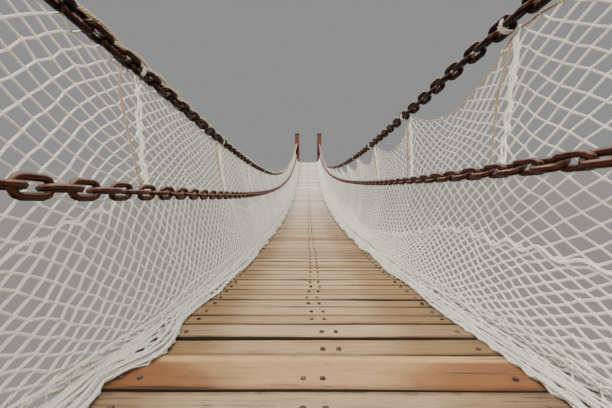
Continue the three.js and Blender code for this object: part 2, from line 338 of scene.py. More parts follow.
def tubes(paths, radius, sides, across, closed=False, lots=None):
    """Bars along many paths at once. Each ring is the polygon centre + radius (n cos a + b sin a),
    where n is square to the path and to the direction across, and b is square to both. The polygon
    is as wide on average as a round bar, and n is longer at a bend, as in a mitred corner."""
    paths = np.asarray(paths, float)
    count, points = paths.shape[:2]
    if closed:
        along = unit(np.roll(paths, -1, 1) - np.roll(paths, 1, 1))
        forward = unit(np.roll(paths, -1, 1) - paths)
    else:
        along = unit(np.gradient(paths, axis=1))
        forward = unit(np.diff(paths, axis=1, append=2 * paths[:, -1:] - paths[:, -2:-1]))
    n = unit(np.cross(along, np.broadcast_to(across, paths.shape)))
    b = np.cross(along, n)
    n = n / np.clip(np.sum(forward * along, -1, keepdims=True), 0.6, 1)
    angle = 2 * np.pi * (np.arange(sides) + (sides % 2) / 4) / sides
    swell = math.pi / (sides * math.sin(math.pi / sides))
    width = np.broadcast_to(swell * np.asarray(radius, float), (count, points))[..., None, None]
    ring = np.cos(angle)[:, None] * n[:, :, None] + np.sin(angle)[:, None] * b[:, :, None]
    verts = paths[:, :, None] + width * ring

    number = np.arange(count * points * sides).reshape(count, points, sides)
    ahead = np.roll(number, -1, 1) if closed else number[:, 1:]
    here = number if closed else number[:, :-1]
    quads = np.stack([here, np.roll(here, -1, 2), np.roll(ahead, -1, 2), ahead], -1).reshape(-1, 4)

    steps = np.linalg.norm(np.diff(paths, axis=1, append=paths[:, :1]), axis=2)
    reach = np.concatenate([np.zeros((count, 1)), np.cumsum(steps, 1)], 1)
    spans = here.shape[1]
    v0 = np.repeat(reach[:, :spans, None], sides, 2)
    v1 = np.repeat(reach[:, 1:spans + 1, None], sides, 2)
    u0 = np.broadcast_to(np.arange(sides) / sides, v0.shape)
    u1 = u0 + 1 / sides
    uvs = np.stack([np.stack([u0, v0], -1), np.stack([u1, v0], -1),
                    np.stack([u1, v1], -1), np.stack([u0, v1], -1)], -2).reshape(-1, 4, 2)
    faces, face_uvs = [quads], [uvs]
    if not closed:
        caps = np.concatenate([number[:, 0, ::-1], number[:, -1]])
        faces.append(caps)
        face_uvs.append(np.zeros(caps.shape + (2,)))
    lots = np.zeros(count) if lots is None else lots
    return Shape(verts, faces, face_uvs, np.repeat(lots, points * sides))


def lofts(rings, lots=None):
    """Closed solids from stacks of rings: neighbouring rings are joined by quads, and the first and
    last are closed. A ring turns anticlockwise seen from where the stack goes."""
    count, levels, points = rings.shape[:3]
    number = np.arange(count * levels * points).reshape(count, levels, points)
    low, high = number[:, :-1], number[:, 1:]
    quads = np.stack([low, np.roll(low, -1, 2), np.roll(high, -1, 2), high], -1).reshape(-1, 4)
    caps = np.concatenate([number[:, 0, ::-1], number[:, -1]])
    lots = np.zeros(count) if lots is None else lots
    return Shape(rings, [quads, caps], None, np.repeat(lots, levels * points))


def smooth(share):
    """Smooth step: 0 below zero, 1 above one, and three squares less two cubes between."""
    share = np.clip(share, 0, 1)
    return share * share * (3 - 2 * share)


def six_sided(profile, start=0.0):
    """A solid of revolution with six sides, from its profile of (radius, height). start turns it,
    in sixths of a turn."""
    radius, height = np.array(profile).T[..., None]
    angle = math.tau * (np.arange(6) + start) / 6
    rings = np.stack([radius * np.cos(angle), radius * np.sin(angle), np.repeat(height, 6, 1)], -1)
    return lofts(rings[None])


def add_piece(name, shape, material, replaced=(), smooth_faces=True):
    """Puts a shape into a mesh that rides on the bridge."""
    mesh = bpy.data.meshes.new(name)
    corners = np.concatenate([f.ravel() for f in shape.faces])
    sizes = np.concatenate([np.full(len(f), f.shape[1]) for f in shape.faces])
    mesh.vertices.add(len(shape.verts))
    mesh.vertices.foreach_set("co", shape.verts.astype(np.float32).ravel())
    mesh.loops.add(len(corners))
    mesh.loops.foreach_set("vertex_index", corners.astype(np.int32))
    mesh.polygons.add(len(sizes))
    mesh.polygons.foreach_set("loop_start", (np.cumsum(sizes) - sizes).astype(np.int32))
    mesh.polygons.foreach_set("use_smooth", np.full(len(sizes), smooth_faces))
    uv = np.concatenate([u.reshape(-1, 2) for u in shape.uvs])
    mesh.uv_layers.new(name="UVMap").data.foreach_set("uv", uv.astype(np.float32).ravel())
    for attribute, values in (("lot", shape.lot), ("stain", shape.stain)):
        layer = mesh.attributes.new(attribute, "FLOAT", "POINT")
        layer.data.foreach_set("value", values.astype(np.float32))
    mesh.update(calc_edges=True)
    if mesh.validate():
        raise RuntimeError(f"{name} has faces that aren't valid")
    mesh.materials.append(material)
    piece = bpy.data.objects.new(name, mesh)
    bpy.context.scene.collection.objects.link(piece)
    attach(piece, "root")
    if replaced:
        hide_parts(*replaced)


# Shader maths

class Link:
    """A socket in a material. Arithmetic on it adds Math nodes."""

    def __init__(self, finish, socket):
        self.finish = finish
        self.socket = socket

    def math(self, operation, first, second):
        return self.finish.node("ShaderNodeMath", {"operation": operation}, {0: first, 1: second})

    def __add__(self, other):
        return self.math("ADD", self, other)

    def __radd__(self, other):
        return self.math("ADD", other, self)

    def __sub__(self, other):
        return self.math("SUBTRACT", self, other)

    def __rsub__(self, other):
        return self.math("SUBTRACT", other, self)

    def __mul__(self, other):
        return self.math("MULTIPLY", self, other)

    def __rmul__(self, other):
        return self.math("MULTIPLY", other, self)


class Finish:
    """A material in the making."""

    def __init__(self, name):
        self.material = bpy.data.materials.new(name)
        self.material.use_nodes = True
        self.tree = self.material.node_tree
        self.tree.nodes.clear()

    def node(self, kind, settings, values, output=0):
        """Adds a node, makes its settings, then sets or links its sockets."""
        made = self.tree.nodes.new(kind)
        for setting, value in settings.items():
            setattr(made, setting, value)
        for socket, value in values.items():
            if isinstance(value, Link):
                self.tree.links.new(value.socket, made.inputs[socket])
            else:
                made.inputs[socket].default_value = value
        return Link(self, made.outputs[output]) if made.outputs else None

    def place(self, source="Object"):
        return self.node("ShaderNodeTexCoord", {}, {}, source)

    def attribute(self, name):
        return self.node("ShaderNodeAttribute", {"attribute_name": name}, {}, "Fac")

    def combine(self, x, y, z):
        return self.node("ShaderNodeCombineXYZ", {}, {0: x, 1: y, 2: z})

    def vector(self, operation, first, second):
        return self.node("ShaderNodeVectorMath", {"operation": operation}, {0: first, 1: second})

    def absolute(self, value):
        return self.node("ShaderNodeMath", {"operation": "ABSOLUTE"}, {0: value})

    def axis(self, vector, index):
        return self.node("ShaderNodeSeparateXYZ", {}, {0: vector}, index)

    def noise(self, vector, scale, detail=4.0, roughness=0.55, distortion=0.0):
        values = {"Vector": vector, "Scale": scale, "Detail": detail, "Roughness": roughness,
                  "Distortion": distortion}
        return self.node("ShaderNodeTexNoise", {}, values)

    def grain(self, vector, scales, detail, roughness, distortion=0.0):
        """Noise with a scale of its own along each axis."""
        stretched = self.vector("MULTIPLY", vector, scales)
        return self.noise(stretched, 1.0, detail, roughness, distortion)

    def step(self, value, low, high):
        """Smooth step: 0 below low, 1 above high."""
        values = {"Value": value, "From Min": low, "From Max": high}
        return self.node("ShaderNodeMapRange", {"interpolation_type": "SMOOTHSTEP"}, values)

    def mix(self, factor, first, second):
        def four(value):
            return value if isinstance(value, Link) else (*value, 1.0)

        values = {0: factor, 6: four(first), 7: four(second)}
        return self.node("ShaderNodeMix", {"data_type": "RGBA"}, values, 2)

    def bump(self, height, distance, strength=1.0):
        values = {"Height": height, "Distance": distance, "Strength": strength}
        return self.node("ShaderNodeBump", {}, values)

    def done(self, values):
        """The shader and the output."""
        shader = self.node("ShaderNodeBsdfPrincipled", {}, values)
        self.node("ShaderNodeOutputMaterial", {}, {"Surface": shader})
        return self.material


def shade(colour, factor):
    """A colour made lighter or darker."""
    return tuple(min(1, factor * part) for part in colour)


def board_finish(colours):
    """Weathered boards. The UV's first axis runs along the board, in metres. Its second goes from -1 to 1
    across the top and on round the sides. The grain runs along the board, and each board's lot shifts it.
    Boards grow paler towards the far end, and browner towards their ends, where stains, dirt and a
    painted shadow of the nets lie. Fresh boards have a painted highlight along the front edge, and the
    side faces in the gaps hold painted shade."""
    f = Finish("weathered_board")
    uv = f.place("UV")
    lot = f.attribute("lot")
    shift = f.combine(lot * 61.0, lot * 23.0, lot * 97.0)
    own = f.vector("ADD", uv, shift)
    streaks = f.grain(own, (5.0, 6.5, 1.0), 7.0, 0.68, 0.4)
    fine = f.grain(own, (26.0, 34.0, 1.0), 4.0, 0.65)
    patches = f.grain(own, (3.6, 0.7, 1.0), 3.0, 0.6)
    blotch = f.grain(own, (24.0, 2.6, 1.0), 5.0, 0.65)
    crack = f.step(f.grain(own, (1.6, 5.0, 1.0), 2.0, 0.4), 0.262, 0.246)

    place = f.place()
    side = f.absolute(f.axis(place, 0) + 0.035)
    # Browner towards the board's ends: a painted shadow of the nets
    outer = f.step(side + patches * 0.16, 0.26, 0.46)
    far = f.step(f.axis(place, 1), -6.0, 4.0)
    tint = f.noise(shift, 3.7, 0.0)
    pale = f.step(streaks * 0.45 + patches * 0.40 + tint * 1.20 - outer * 0.34, 0.55, 1.17)
    wood = f.mix(pale, colours.board, colours.board_pale)
    wood = f.mix(far * 0.85, wood, colours.board_far_pale)

    # Boards that have kept their colour, with red stains near their ends and a painted highlight along
    # the front edge
    stain = f.attribute("stain")
    edge = f.axis(uv, 1)
    fresh = f.step(stain, 0.25, 1.0)
    wood = f.mix(fresh * (0.80 - 0.30 * streaks), wood, colours.board_new)
    ends = f.step(side + patches * 0.30 + stain * 0.10 - edge * 0.07, 0.40, 0.66)
    wood = f.mix(fresh * ends * (0.60 + 0.5 * streaks), wood, colours.board_stain)
    # Painted highlight: a lighter band along the front edge of a fresh board, where light catches it
    edge_highlight = f.step(edge + blotch * 0.3, 0.50, 0.74) * fresh
    wood = f.mix(edge_highlight * 0.85, wood, shade(colours.board_new, 1.2))

    # Dirt in the grain, in blotches and along the board's edges. Towards the board's ends the darkening
    # is partly dirt and partly a painted shadow of the nets, and on the side faces in the gaps partly
    # dirt and partly painted shade.
    around = f.absolute(edge)
    dirt = f.step(streaks, 0.52, 0.32) * 0.34 + f.step(fine, 0.47, 0.30) * 0.22
    dirt = dirt + f.step(blotch, 0.56, 0.76) * 0.28 + f.step(side, 0.40, 0.52) * 0.16
    dirt = dirt + f.step(patches + tint * 0.3, 0.58, 0.80) * 0.14
    dirt = dirt + f.step(0.0 - stain, 0.0, 1.0) * 0.55
    dirt = dirt + f.step(around + blotch * 0.24, 0.80, 1.06) * (0.36 + far * 0.45)
    # Much darker on the side faces in the gaps: dirt and painted shade
    dirt = dirt + f.step(around, 0.98, 1.08) * 0.90
    dirt = dirt - f.step(around, 1.45, 1.60) * 0.65
    wood = f.mix(f.step(dirt + crack * 0.7, -0.1, 1.1), wood, colours.board_dirt_and_shade)

    relief = streaks * 0.6 + fine * 0.4 - crack
    return f.done({
        "Base Color": wood, "Roughness": 0.62 + 0.25 * streaks, "Specular IOR Level": 0.35,
        "Normal": f.bump(relief, 0.0018, 0.8)})


def rust_finish(name, dark, rust, bright, worn, gloss, top=0.75, red=0.0):
    """Rusty steel: dark scale and rust in patches, and pinkish dust with a painted highlight where it
    faces up. It is painted darker underneath as shade, and where it faces sideways and a little down it
    is painted a brighter red, as light bounced up from the ground. worn is how much dust and highlight
    there is and top where they start, gloss is how smooth it is, and red how strong the painted bounce
    light is."""
    f = Finish(name)
    lot = f.attribute("lot")
    own = f.vector("ADD", f.place(), f.combine(lot * 3.0, lot * 7.0, lot * 5.0))
    broad = f.noise(own, 26.0, 4.0, 0.6)
    fine = f.noise(own, 170.0, 5.0, 0.65)
    pits = f.noise(own, 520.0, 2.0, 0.6)
    upward = f.axis(f.node("ShaderNodeNewGeometry", {}, {}, "Normal"), 2)
    rusted = f.step(broad + fine * 0.5 + lot * 0.16, 0.62, 0.98)
    steel = f.mix(rusted, dark, rust)
    # Painted light bounced up from the ground: brighter red rust where the steel faces sideways and a
    # little down
    fresh = f.step(0.25 - f.absolute(upward + 0.25) + fine * 0.2, 0.0, 0.3)
    steel = f.mix(fresh * red, steel, shade(rust, 2.6))
    # Painted shade: darker where the steel faces down
    steel = f.mix(f.step(0.0 - upward, 0.25, 0.85) * 0.85, steel, shade(dark, 0.5))
    # Pinkish dust and a painted highlight where the steel faces up
    dust_and_highlight = f.step(upward + f.noise(own, 62.0, 3.0, 0.5) * 0.5 + pits * 0.2, top, top + 0.65)
    steel = f.mix(dust_and_highlight * (0.75 * worn), steel, bright)
    steel = f.mix(f.step(pits, 0.62, 0.74) * 0.25, steel, shade(rust, 1.7))
    return f.done({
        "Base Color": steel, "Metallic": 0.05 + dust_and_highlight * (0.30 * worn),
        "Roughness": 0.60 - 0.25 * gloss - dust_and_highlight * (0.08 * worn) + fine * 0.14,
        "Specular IOR Level": 0.06 + 0.07 * gloss,
        "Normal": f.bump(fine * 0.6 + pits * 0.4, 0.0006, 0.7)})


def rope_finish(name, clean, soiled, soil, lay, relief=1.0):
    """Twisted rope: three strands wind round the UV's first axis once for each lay of length, in metres.
    soil is how much of it is dirty, and relief how deep the grooves between strands are and how dark
    their painted shade is."""
    f = Finish(name)
    uv = f.place("UV")
    place = f.place()
    turn = f.axis(uv, 0) * (3 * math.tau) + f.axis(uv, 1) * (3 * math.tau / lay)
    twist = f.node("ShaderNodeMath", {"operation": "SINE"}, {0: turn})
    broad = f.noise(place, 5.0, 4.0, 0.6)
    fine = f.noise(place, 240.0, 3.0, 0.6)
    dirty = f.step(broad + fine * 0.35, 0.86 - soil * 0.5, 1.06 - soil * 0.3)
    rope = f.mix(dirty * 0.8, clean, soiled)
    # Painted shade: darker in the grooves between the strands, in a darkened soil colour
    groove_shade = f.step(twist, -0.2, -0.95)
    rope = f.mix(groove_shade * (0.40 * relief), rope, shade(soiled, 0.55))
    return f.done({
        "Base Color": rope, "Roughness": 0.86 + fine * 0.1, "Specular IOR Level": 0.25,
        "Sheen Weight": 0.25, "Normal": f.bump(twist * 0.7 + fine * 0.3, 0.0014 * relief, 0.6)})


def timber_finish(name, stained, worn, dark, wear, grain):
    """Stained timber. grain is the axis along which its grain runs, and wear how much of the stain
    has gone."""
    f = Finish(name)
    place = f.place()

    def scales(across, along):
        return [along if axis == grain else across for axis in range(3)]

    streaks = f.grain(place, scales(46.0, 1.6), 6.0, 0.6, 0.4)
    fine = f.grain(place, scales(310.0, 9.0), 3.0, 0.6)
    broad = f.noise(place, 4.2, 4.0, 0.6)
    gone = f.step(streaks * 0.55 + broad * 0.6, 0.74 - 0.2 * wear, 0.9 - 0.14 * wear)
    wood = f.mix(gone * 0.85, stained, worn)
    soak = f.step(streaks, 0.47, 0.32) * 0.55 + f.step(fine, 0.44, 0.3) * 0.3
    wood = f.mix(soak, wood, dark)
    return f.done({
        "Base Color": wood, "Roughness": 0.62 + gone * 0.22, "Specular IOR Level": 0.35,
        "Normal": f.bump(streaks * 0.6 + fine * 0.4, 0.002, 0.8)})


def floor_finish(colours):
    """Plain pale floor with a faint cloudiness."""
    f = Finish("pale_floor")
    cloud = f.noise(f.place(), 0.35, 3.0, 0.5)
    tint = f.mix(f.step(cloud, 0.3, 0.7) * 0.25, colours.floor, shade(colours.floor, 0.9))
    return f.done({"Base Color": tint, "Roughness": 0.9, "Specular IOR Level": 0.1})


# Boards and their bolts

# Gaps nearest the camera, as traced in the photograph: metres from the near end of the deck, and
# width in millimetres at the left and right board ends.
NEAR_GAPS = (
    (1.921, 9, 8), (2.097, 4, 4), (2.214, 27, 15), (2.338, 7, 17), (2.428, 2, 5), (2.540, 7, 17),
    (2.642, 4, 10), (2.718, 3, 3), (2.822, 15, 13), (2.912, 8, 4), (3.032, 3, 2), (3.170, 13, 19),
    (3.285, 4, 3), (3.385, 7, 22), (3.490, 6, 3), (3.610, 10, 16), (3.728, 3, 3), (3.870, 9, 12))

# How the boards nearest the camera have kept their colour, from the one before the first gap on.
# One is a newer board, and below zero it is dirtier than the rest.
NEAR_STAINS = (-0.4, 1.0, 0.30, 0.0, 0.12, 0.22, 0.0, 0.25, 0.0)

# How far the bolts of the boards after the first gap stand from the boards' middles
NEAR_BOLT_SHIFTS = (-0.044, -0.025, -0.016, -0.003, -0.019, -0.013, -0.017)


def board_edges(lines, boards):
    """Places of the gaps along the bridge and their widths at both board ends. Board widths vary
    about their mean, and the gaps nearest the camera lie as in the photograph."""
    half = lines.span.deck_half_length
    rng = np.random.default_rng(11)
    known = np.array(NEAR_GAPS)
    known[:, 0] -= half

    def filled(start, end):
        count = round((end - start) / boards.width)
        widths = 1 + 0.28 * rng.uniform(-1, 1, count)
        return start + (end - start) * np.cumsum(widths) / widths.sum()

    before = np.concatenate([[-half], filled(-half, known[0, 0])[:-1]])
    after = filled(known[-1, 0], half)
    edges = np.concatenate([before, known[:, 0], after])
    wide = rng.uniform(0, 1, (len(edges), 1)) < 0.4
    gaps = np.where(wide, boards.wide_gap, boards.tight_gap) * rng.uniform(0.5, 1.4, (len(edges), 2))
    gaps[len(before):len(before) + len(known)] = known[:, 1:] / 1000
    stains = rng.uniform(-0.5, 1, len(edges) - 1)
    stains = np.where(stains > 0, stains ** 3 * 0.75, stains)
    stains[len(before) - 1:len(before) - 1 + len(NEAR_STAINS)] = NEAR_STAINS
    return edges, gaps, stains


def bolt_places(lines, boards):
    """Places of the U-bolts along the bridge: the boards' middles, and the known ones as they are."""
    edges = board_edges(lines, boards)[0]
    places = (edges[1:] + edges[:-1]) / 2
    first = np.abs(edges - (NEAR_GAPS[0][0] - lines.span.deck_half_length)).argmin()
    places[first:first + len(NEAR_BOLT_SHIFTS)] += NEAR_BOLT_SHIFTS
    return places[np.abs(places) < lines.span.half_span - END_MARGIN]


def board_shapes(edges, gaps, stains, half_length, lines, boards, seed, flat_top=None):
    """Boards between gaps, as lofts of their section along X. The section is a slightly crowned
    rectangle with worn corners. Its width follows the gaps, which open from one end to the other, and
    its height wavers with x. Each board is turned and raised a little."""
    rng = np.random.default_rng(seed)
    count = len(edges) - 1
    middle = (edges[1:] + edges[:-1]) / 2
    thick, arris = boards.thickness, boards.arris
    x = np.array([0, 0.01, 0.06, 0.14, 0.24, 0.37, 0.5, 0.63, 0.76, 0.86, 0.94, 0.99, 1])
    lengths = half_length + rng.uniform(-0.012, 0.0, (count, 2))
    at = np.where(x <= 0.5, -lengths[:, :1] * (1 - 2 * x), lengths[:, 1:] * (2 * x - 1))
    at[:, 1] = -lengths[:, 0] + arris
    at[:, -2] = lengths[:, 1] - arris

    gap = gaps[:, :1] + (gaps[:, 1:] - gaps[:, :1]) * x
    phase = rng.uniform(0, math.tau, (4, count, 1))
    wave = 0.0010 * np.sin(7 * at + phase[0]) + 0.0006 * np.sin(19 * at + phase[1])
    cup = rng.uniform(-0.0006, 0.0018, (count, 1))
    warp = 0.0010 * np.sin(3.1 * at + phase[2]) + 0.0005 * np.sin(11 * at + phase[3])
    end_cut = np.zeros_like(at)
    end_cut[:, [0, -1]] = arris * 0.8
    a = np.diff(edges)[:, None] / 2 - (gap[:-1] + gap[1:]) / 4 + np.minimum(wave, 0) - end_cut
    shift = (gap[:-1] - gap[1:]) / 4
    b = 0.9 * arris
    top, bottom = -end_cut, -thick + end_cut
    section = np.stack([
        np.stack([-a, top - b], -1), np.stack([-a + b, top], -1),
        np.stack([-a / 3, top + cup], -1), np.stack([a / 3, top + cup], -1),
        np.stack([a - b, top], -1), np.stack([a, top - b], -1),
        np.stack([a, bottom + b], -1), np.stack([a - b, bottom], -1),
        np.stack([-a + b, bottom], -1), np.stack([-a, bottom + b], -1)], 2)
    section[..., 0] += shift[..., None]
    section[..., 1] += warp[..., None]

    slope = lines.deck_slope(middle) if flat_top is None else np.zeros(count)
    height = lines.deck(middle) if flat_top is None else np.full(count, flat_top)
    lift = height + rng.uniform(-0.003, 0.003, count)
    tilt = np.arctan(slope) + rng.uniform(-0.006, 0.006, count)
    ahead = np.stack([np.cos(tilt), np.sin(tilt)], -1)
    across, up = section[..., 0], section[..., 1]
    y = middle[:, None, None] + across * ahead[:, None, None, 0] - up * ahead[:, None, None, 1]
    z = lift[:, None, None] + across * ahead[:, None, None, 1] + up * ahead[:, None, None, 0]
    rings = np.stack([np.broadcast_to(at[..., None], y.shape), y, z], -1)[:, ::-1]
    shape = lofts(rings, rng.uniform(0, 1, count))
    shape.stain = np.repeat(stains, rings.shape[1] * rings.shape[2])

    along = rings[..., 0].reshape(-1)
    around = np.array([-1.06, -0.93, -0.33, 0.33, 0.93, 1.06, 1.5, 2.0, -2.0, -1.5])
    around = np.broadcast_to(around, rings.shape[:3]).reshape(-1)
    corner, cap = shape.faces
    shape.uvs = [np.stack([along[corner], around[corner]], -1),
                 np.stack([around[cap] * 0.04, np.full(cap.shape, 1.6)], -1)]
    return shape


# Sideways places of the middle deck chain near the camera: (place along the bridge, from the middle)
CHAIN_PLACES = (
    (-8.50, -0.020), (-8.05, -0.023), (-7.915, -0.024), (-7.75, 0.036), (-7.62, 0.033),
    (-7.50, -0.003), (-7.41, 0.003), (-7.30, -0.012), (-7.21, -0.018), (-7.03, 0.004),
    (-6.90, -0.001), (-6.60, 0.006), (-6.30, 0.005), (-5.80, 0.012))


def chain_wander(y):
    """Sideways wander of the middle deck chain: the traced places, and slow sine waves beyond."""
    place, offset = np.array(CHAIN_PLACES).T
    wave = 0.009 * np.cos(math.tau * (y + 7.72) / 1.35) + 0.007 * np.cos(math.tau * (y + 7.9) / 0.62)
    near = np.clip(np.minimum(y - place[0], place[-1] - y) / 0.3 + 1, 0, 1)
    return wave + (np.interp(y, place, offset) - wave) * near


def nut_shape():
    """A washer, a nut and a rod's end as one six-sided solid."""
    return six_sided([[0.0086, -0.002], [0.0082, 0.0020], [0.0068, 0.0068], [0.0036, 0.0084]], 0.5)


def u_bolt_shape(boards):
    """The rod of a U-bolt under a board: two legs joined by a half circle below the chain."""
    leg = boards.leg_spacing / 2
    low = -boards.thickness - LINK_WIDTH - 0.009
    arc = np.linspace(math.pi, math.tau, 4)
    points = [[-leg, -0.02], *zip(leg * np.cos(arc), low + leg + leg * np.sin(arc)), [leg, -0.02]]
    path = np.array([[x, 0, z] for x, z in points])
    return tubes(path[None], boards.rod / 2, 3, (0, 1, 0))


def slope_axes(slope):
    """Axes of things that stand square to the deck, from its slope."""
    tilt = np.arctan(slope)
    zero, one = np.zeros_like(tilt), np.ones_like(tilt)
    return np.stack([
        np.stack([one, zero, zero], -1), np.stack([zero, np.cos(tilt), np.sin(tilt)], -1),
        np.stack([zero, -np.sin(tilt), np.cos(tilt)], -1)], 1)


# Chains

# Slow turn of the handrail chain and the lower chain of each side
CHAIN_TWISTS = {"left": (0.25, math.pi / 2 - 0.08), "right": (0.5, 0.8)}


def link_shape(pitch, width, bar, bend_steps, sides):
    """A chain link: a round bar along a stadium, which is two half circles joined by straights. It
    lies in its own first two axes, with its length along the second."""
    bend = (width - bar) / 2
    straight = (pitch + bar) / 2 - bend
    angle = np.linspace(0, math.pi, bend_steps + 1)
    half = np.stack([bend * np.cos(angle), straight + bend * np.sin(angle), 0 * angle], -1)
    path = np.concatenate([half, -half])
    return tubes(path[None], bar / 2, sides, (0, 0, 1), closed=True)


def link_axes(along, roll):
    """Axes of links that follow the direction along, rolled about it. At no roll a link lies flat."""
    flat = unit(np.cross(along, (0, 0, 1)))
    up = np.cross(flat, along)
    first = np.cos(roll)[:, None] * flat + np.sin(roll)[:, None] * up
    return np.stack([first, along, np.cross(first, along)], 1)


def side_chain(path_at, half_span, chains, bar, pitch, twist, seed):
    """Links along a sagging line. They're spaced evenly by arc length, each is turned a quarter from
    the last, and twist adds a slow turn that vanishes at both ends."""
    y = np.linspace(-half_span, half_span, 4001)
    x, z = path_at(y)
    points = np.stack([x, y, z], -1)
    reach = np.concatenate([[0], np.cumsum(np.linalg.norm(np.diff(points, axis=0), axis=1))])

    def place_at(length_along):
        return np.stack([np.interp(length_along, reach, points[:, k]) for k in range(3)], -1)

    whole = reach[-1] - 2 * bar
    count = 2 * round((whole / pitch - 1) / 2) + 1
    at = bar + whole / count * (np.arange(count) + 0.5)
    along = unit(place_at(at + 0.02) - place_at(at - 0.02))
    rng = np.random.default_rng(seed)
    ease = smooth(np.minimum(at, reach[-1] - at) / 0.9)
    slow = twist + 0.14 * np.sin(at * 2.1 + seed) + 0.07 * np.sin(at * 5.3 + 2 * seed)
    loose = rng.normal(0, 0.06, count)
    roll = math.pi / 2 * (np.arange(count) % 2 + 1) + (slow + loose) * ease
    link = link_shape(pitch=whole / count, width=chains.link_width, bar=bar, bend_steps=5, sides=6)
    return link.copies(link_axes(along, roll), place_at(at), rng.uniform(0, 1, count))


def deck_chain(lines, chains, x_at, bolts):
    """Links under the boards: one that stands in each U-bolt, and one that lies between two of
    them. A link's length follows the bolts' spacing."""
    half_span = lines.span.half_span
    stands = np.concatenate([bolts, (bolts[1:] + bolts[:-1]) / 2])
    order = np.argsort(stands)
    at = stands[order]
    at = np.concatenate([[(at[0] - half_span) / 2], at, [(at[-1] + half_span) / 2]])
    standing = np.concatenate([[False], order < len(bolts), [False]])
    gap = np.diff(np.concatenate([[-half_span], (at[1:] + at[:-1]) / 2, [half_span]]))
    place = np.stack([x_at(at), at, lines.deck_chain(at)], -1)
    ahead = np.stack([x_at(at + 0.02), at + 0.02, lines.deck_chain(at + 0.02)], -1)
    pitch, bar = 0.062, chains.deck_bar
    link = link_shape(pitch, LINK_WIDTH, bar, bend_steps=3, sides=4)
    axes = link_axes(unit(ahead - place), np.where(standing, math.pi / 2, 0.0))
    axes[:, 1] *= ((gap + bar) / (pitch + bar))[:, None]
    rng = np.random.default_rng(3)
    return link.copies(axes, place, rng.uniform(0, 1, len(at)))


# Nets and ropes

# Place of a known lashing along the bridge, and the spacing of the rest
LASHINGS = {"left": (-7.372, 1.22), "right": (-7.545, 1.03)}

# How far the net's head stands above the handrail chain's centre, and how far its edge is tucked in
HEAD_LIFTS = {"left": 0.024, "right": -0.004}
HEAD_TUCKS = {"left": 0.016, "right": 0.0}

# Seed of each side's net. The ropes on it share the seed, because they follow its waves.
NET_SEEDS = {"left": 71, "right": 72}

# How far the seam below a lashing stands aside from it, at its top and lower down
SEAMS = {"left": (0.060, 0.015), "right": (0.0, 0.075)}

# How far a single older cord stands aside from the lashing that it hangs from, high up and at its foot
STRAY_CORDS = {"left": (-0.105, -0.025), "right": (0.120, 0.170)}

# Inner edge of the net's foot on the boards nearest the camera: (place along the bridge, distance
# from the centre line), as traced in the photograph
FOOT_EDGES = {
    "left": ((-8.30, 0.462), (-8.03, 0.472), (-7.99, 0.494), (-7.94, 0.503), (-7.885, 0.455),
             (-7.82, 0.430), (-7.75, 0.433), (-7.66, 0.449), (-7.56, 0.480), (-7.43, 0.481),
             (-7.30, 0.474), (-7.17, 0.456), (-7.04, 0.461), (-6.72, 0.455), (-6.58, 0.446),
             (-6.00, 0.453)),
    "right": ((-8.30, 0.490), (-7.95, 0.494), (-7.69, 0.491), (-7.56, 0.483), (-7.36, 0.476),
              (-7.17, 0.487), (-7.04, 0.491), (-6.91, 0.487), (-6.72, 0.466), (-6.52, 0.470),
              (-6.31, 0.478), (-6.00, 0.490))}

# Height of the lacing rope above the boards: (place along the bridge, height), traced in the photograph
# as far as it shows
LACING = {
    "left": ((-9.9, 0.24), (-8.02, 0.315), (-7.75, 0.375), (-7.43, 0.455), (-6.85, 0.54), (-6.3, 0.50),
             (-5.4, 0.36), (-4.2, 0.45), (-2.6, 0.34), (-0.8, 0.42), (1.2, 0.34), (3.5, 0.42),
             (6.0, 0.32), (8.0, 0.40), (9.9, 0.28)),
    "right": ((-9.9, 0.22), (-7.93, 0.262), (-7.70, 0.290), (-7.50, 0.303), (-7.30, 0.315),
              (-7.10, 0.310), (-6.90, 0.300), (-6.75, 0.275), (-6.40, 0.230), (-6.0, 0.19),
              (-5.24, 0.14), (-4.6, 0.15), (-3.2, 0.27), (-1.5, 0.18), (0.5, 0.29), (2.6, 0.18),
              (5.0, 0.30), (7.4, 0.20), (9.9, 0.24))}


def lashing_places(side, half_span):
    """Where ropes tie the net's head to the handrail chain: one known place, repeated at an even
    spacing as far as the posts."""
    known, spacing = LASHINGS[side]
    first = known - spacing * math.floor((known + half_span - POST_MARGIN) / spacing)
    return np.arange(first, half_span - POST_MARGIN, spacing)


def foot_edge(side, y):
    """Inner edge of the net's foot: the traced places, averaged over a few centimetres, and slow
    sine waves beyond them."""
    place, offset = np.array(FOOT_EDGES[side]).T
    wave = 0.470 + 0.013 * np.sin(7.1 * y + SIDES[side]) + 0.010 * np.sin(15.7 * y)
    around = (-0.024, -0.008, 0.008, 0.024)
    traced = np.mean([np.interp(y + aside, place, offset) for aside in around], 0)
    near = np.clip(np.minimum(y - place[0], place[-1] - y) / 0.3 + 1, 0, 1)
    return wave + (traced - wave) * near


